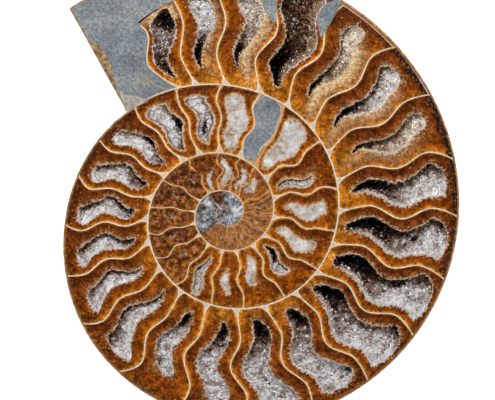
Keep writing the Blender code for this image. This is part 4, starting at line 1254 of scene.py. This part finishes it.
def block(name, top, bottom, material, slot):
    """A closed piece between two grids of points, its faces outward."""
    rows, columns = len(top), len(top[0])
    points = [at for row in top for at in row] + [at for row in bottom for at in row]
    under = rows * columns
    faces = []
    for k in range(rows - 1):
        for j in range(columns - 1):
            a, b = k * columns + j, (k + 1) * columns + j
            faces.append((a, a + 1, b + 1, b))
            faces.append((under + b, under + b + 1, under + a + 1, under + a))
    rim = [*range(columns - 1), *[k * columns + columns - 1 for k in range(rows - 1)],
           *[(rows - 1) * columns + j for j in range(columns - 1, 0, -1)],
           *[k * columns for k in range(rows - 1, 0, -1)]]
    faces += [(b, a, under + a, under + b) for a, b in zip(rim, rim[1:] + rim[:1])]
    piece = make_piece(name, points, faces, material, slot)
    face_outward(piece, sharp=40)
    return piece


# the filling of the body chamber, from the last septum to the straight break
MUD_ROWS = 44
MUD_COLUMNS = 26
MUD_DEPTH = 11.0
MUD_OVER = (0.60, 0.715)    # between these places it spreads over the last chamber too
MUD_SHELL = 1.3             # thickness of the shell that is left below it
MUD_PROUD = 0.05            # how far it stands out at the break
top, bottom = [], []
for k in range(MUD_ROWS + 1):
    along = 0.008 + 0.976 * k / MUD_ROWS
    over = min(1.0, max(0.0, (along - MUD_OVER[0]) / (MUD_OVER[1] - MUD_OVER[0])))
    start = (1 - over) * septum_angle(SEPTA[-1], along) + over * septum_angle(SEPTA[-2], along)
    inner = wall_radius(start - TURN)
    radius = inner + along * (wall_radius(start) - inner)
    near_angle = start + math.degrees((0.2 - 0.5 * min(1.0, 4 * over)) / radius)
    far_inner = wall_radius(APERTURE - TURN + 5)
    far_radius = far_inner + along * (wall_radius(APERTURE) - far_inner)
    far_angle = aperture_angle(far_radius)
    lid, bed = [], []
    for j in range(MUD_COLUMNS + 1):
        across = j / MUD_COLUMNS
        angle = near_angle + across * (far_angle - near_angle)
        reach = radius + across * (far_radius - radius)
        above = min(angle, APERTURE)
        flank_below = flank_depth(above, min(reach / wall_radius(above), 0.99))
        low = min(MUD_DEPTH, flank_below - MUD_SHELL)
        x, y = plan(angle, reach)
        if j == MUD_COLUMNS:
            outward = math.radians(angle + 90)
            x, y = x + MUD_PROUD * math.cos(outward), y + MUD_PROUD * math.sin(outward)
        lid.append((x, y, HALF_THICKNESS - (0.015 if j < 2 else 0.0)))
        bed.append((x, y, HALF_THICKNESS - max(0.5, low)))
    top.append(lid)
    bottom.append(bed)
plug = block("body_chamber_mudstone", top, bottom, mudstone, "grey_mudstone")
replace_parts(plug, "mudstone_plug")
break_line = [row[-1] for row in top]

# the filled chamber of the second whorl: its mud meets the brown lining of its first side
CHAMBER_MUD_DEPTH = 2.0
lip = outlines[MUD_CHAMBER][0]
top, bottom = [], []
for row in crosswise(lip):
    left, right = lip[row[0]], lip[row[-1]]
    lid = []
    for j, index in enumerate(row):
        at = lip[index] if index is not None else blend(left, right, j / (END + 1))
        lid.append((*at, HALF_THICKNESS))
    top.append(lid)
    bottom.append([(x, y, HALF_THICKNESS - CHAMBER_MUD_DEPTH) for x, y, _ in lid])
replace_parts(block("chamber_mudstone", top, bottom, mudstone, "grey_mudstone"), "mudstone_chamber")

# grey mud that stayed in the outer corners of two chambers, a paler wedge of it against the whorl
# wall, and the tan crust along the break, each ground flush with the face
pale_mud, shader = new_material("pale_wedge_mudstone")
where = add_node(pale_mud, "TexCoord").outputs["Object"]
cloud = add_node(pale_mud, "TexNoise", {"Vector": where, "Scale": 0.9 / MM, "Detail": 4.0, "Roughness": 0.7})
tint = add_node(pale_mud, "ValToRGB", [cloud], stops=[
    (0.32, "7E6E60"), (0.46, "A0968C"), (0.56, "B4AEA6"), (0.7, "C9BFB2")])
set_inputs(pale_mud, shader, {"Base Color": tint, "Roughness": 0.5})

WEDGE = [(-38.0, 27.4), (-36.2, 26.6), (-33.8, 26.25), (-31.8, 25.6), (-30.6, 24.95), (-33.9, 23.3),
         (-36.4, 22.1), (-37.3, 24.3)]
# by the crest of the chamber's first septum: corners of the patch, across the chamber and along it
SEDIMENT = {424.0: [(0.04, 0.66), (0.12, 0.69), (0.19, 0.76), (0.22, 0.86), (0.20, 0.94), (0.06, 0.97)],
            439.5: [(0.05, 0.60), (0.14, 0.63), (0.24, 0.70), (0.22, 0.80), (0.12, 0.86), (0.04, 0.84)]}


def flush_patch(name, outline, height, material, slot):
    """A thin flush patch with a slightly ragged edge, its outline refined from a few corners."""
    fine = []
    for at in refined(outline, closed=True):
        jag = 0.10 * noise.noise(Vector((at.x * 2.3, at.y * 2.3, 2.0)))
        fine.append((at.x + jag, at.y + jag, HALF_THICKNESS + height))
    middle = sum((Vector(at) for at in fine), Vector()) / len(fine)
    fine.append(tuple(middle))
    last = len(fine) - 1
    turned = sum(a[0] * b[1] - b[0] * a[1] for a, b in zip(fine[:last], fine[1:last] + fine[:1]))
    faces = [(k, (k + 1) % last, last) if turned > 0 else ((k + 1) % last, k, last) for k in range(last)]
    return make_piece(name, fine, faces, material, slot)


flush_patch("wedge_mudstone", WEDGE, 0.025, pale_mud, "grey_mudstone")
for number, (crest, outline) in enumerate(SEDIMENT.items(), 1):
    corners = [chamber_point(*septa_of(crest), *at) for at in outline]
    flush_patch(f"corner_mud_{number}", corners, 0.02, mudstone, "grey_mudstone")

crust, shader = new_material("tan_break_crust")
where = add_node(crust, "TexCoord").outputs["Object"]
cloud = add_node(crust, "TexNoise", {"Vector": where, "Scale": 0.7 / MM, "Detail": 5.0, "Roughness": 0.7})
tint = add_node(crust, "ValToRGB", [cloud], stops=[
    (0.34, "3A2A1C"), (0.44, "7A5630"), (0.54, "A8865A"), (0.68, "C4B090")])
set_inputs(crust, shader, {"Base Color": tint, "Roughness": 0.5})
CRUST_DROP = 1.2      # how far it reaches down the break
CRUST_RISE = 0.02
points = []
for k, (x, y, z) in enumerate(break_line):
    radius = math.dist((x, y), CENTRE)
    ahead = Vector(break_line[min(k + 1, len(break_line) - 1)]) - Vector(break_line[max(k - 1, 0)])
    aside = Vector((-ahead.y, ahead.x, 0.0)).normalized()
    if aside.dot(Vector(top[0][0]) - Vector((x, y, z))) < 0:
        aside = -aside
    swell = smooth((radius - 44) / 9) * (1 - smooth((radius - 57.5) / 2.5))
    wide = 0.55 + 1.9 * swell + 0.35 * noise.noise(Vector((radius * 0.8, 0.0, 0.0)))
    for share, rise in ((0.0, -CRUST_DROP), (0.0, CRUST_RISE), (0.5, CRUST_RISE), (1.0, CRUST_RISE)):
        points.append((x + aside.x * wide * share, y + aside.y * wide * share, HALF_THICKNESS + rise))
faces = quads(numbered(len(break_line), 4), flipped=True)
make_piece("break_crust", points, faces, crust, "brown_calcite")
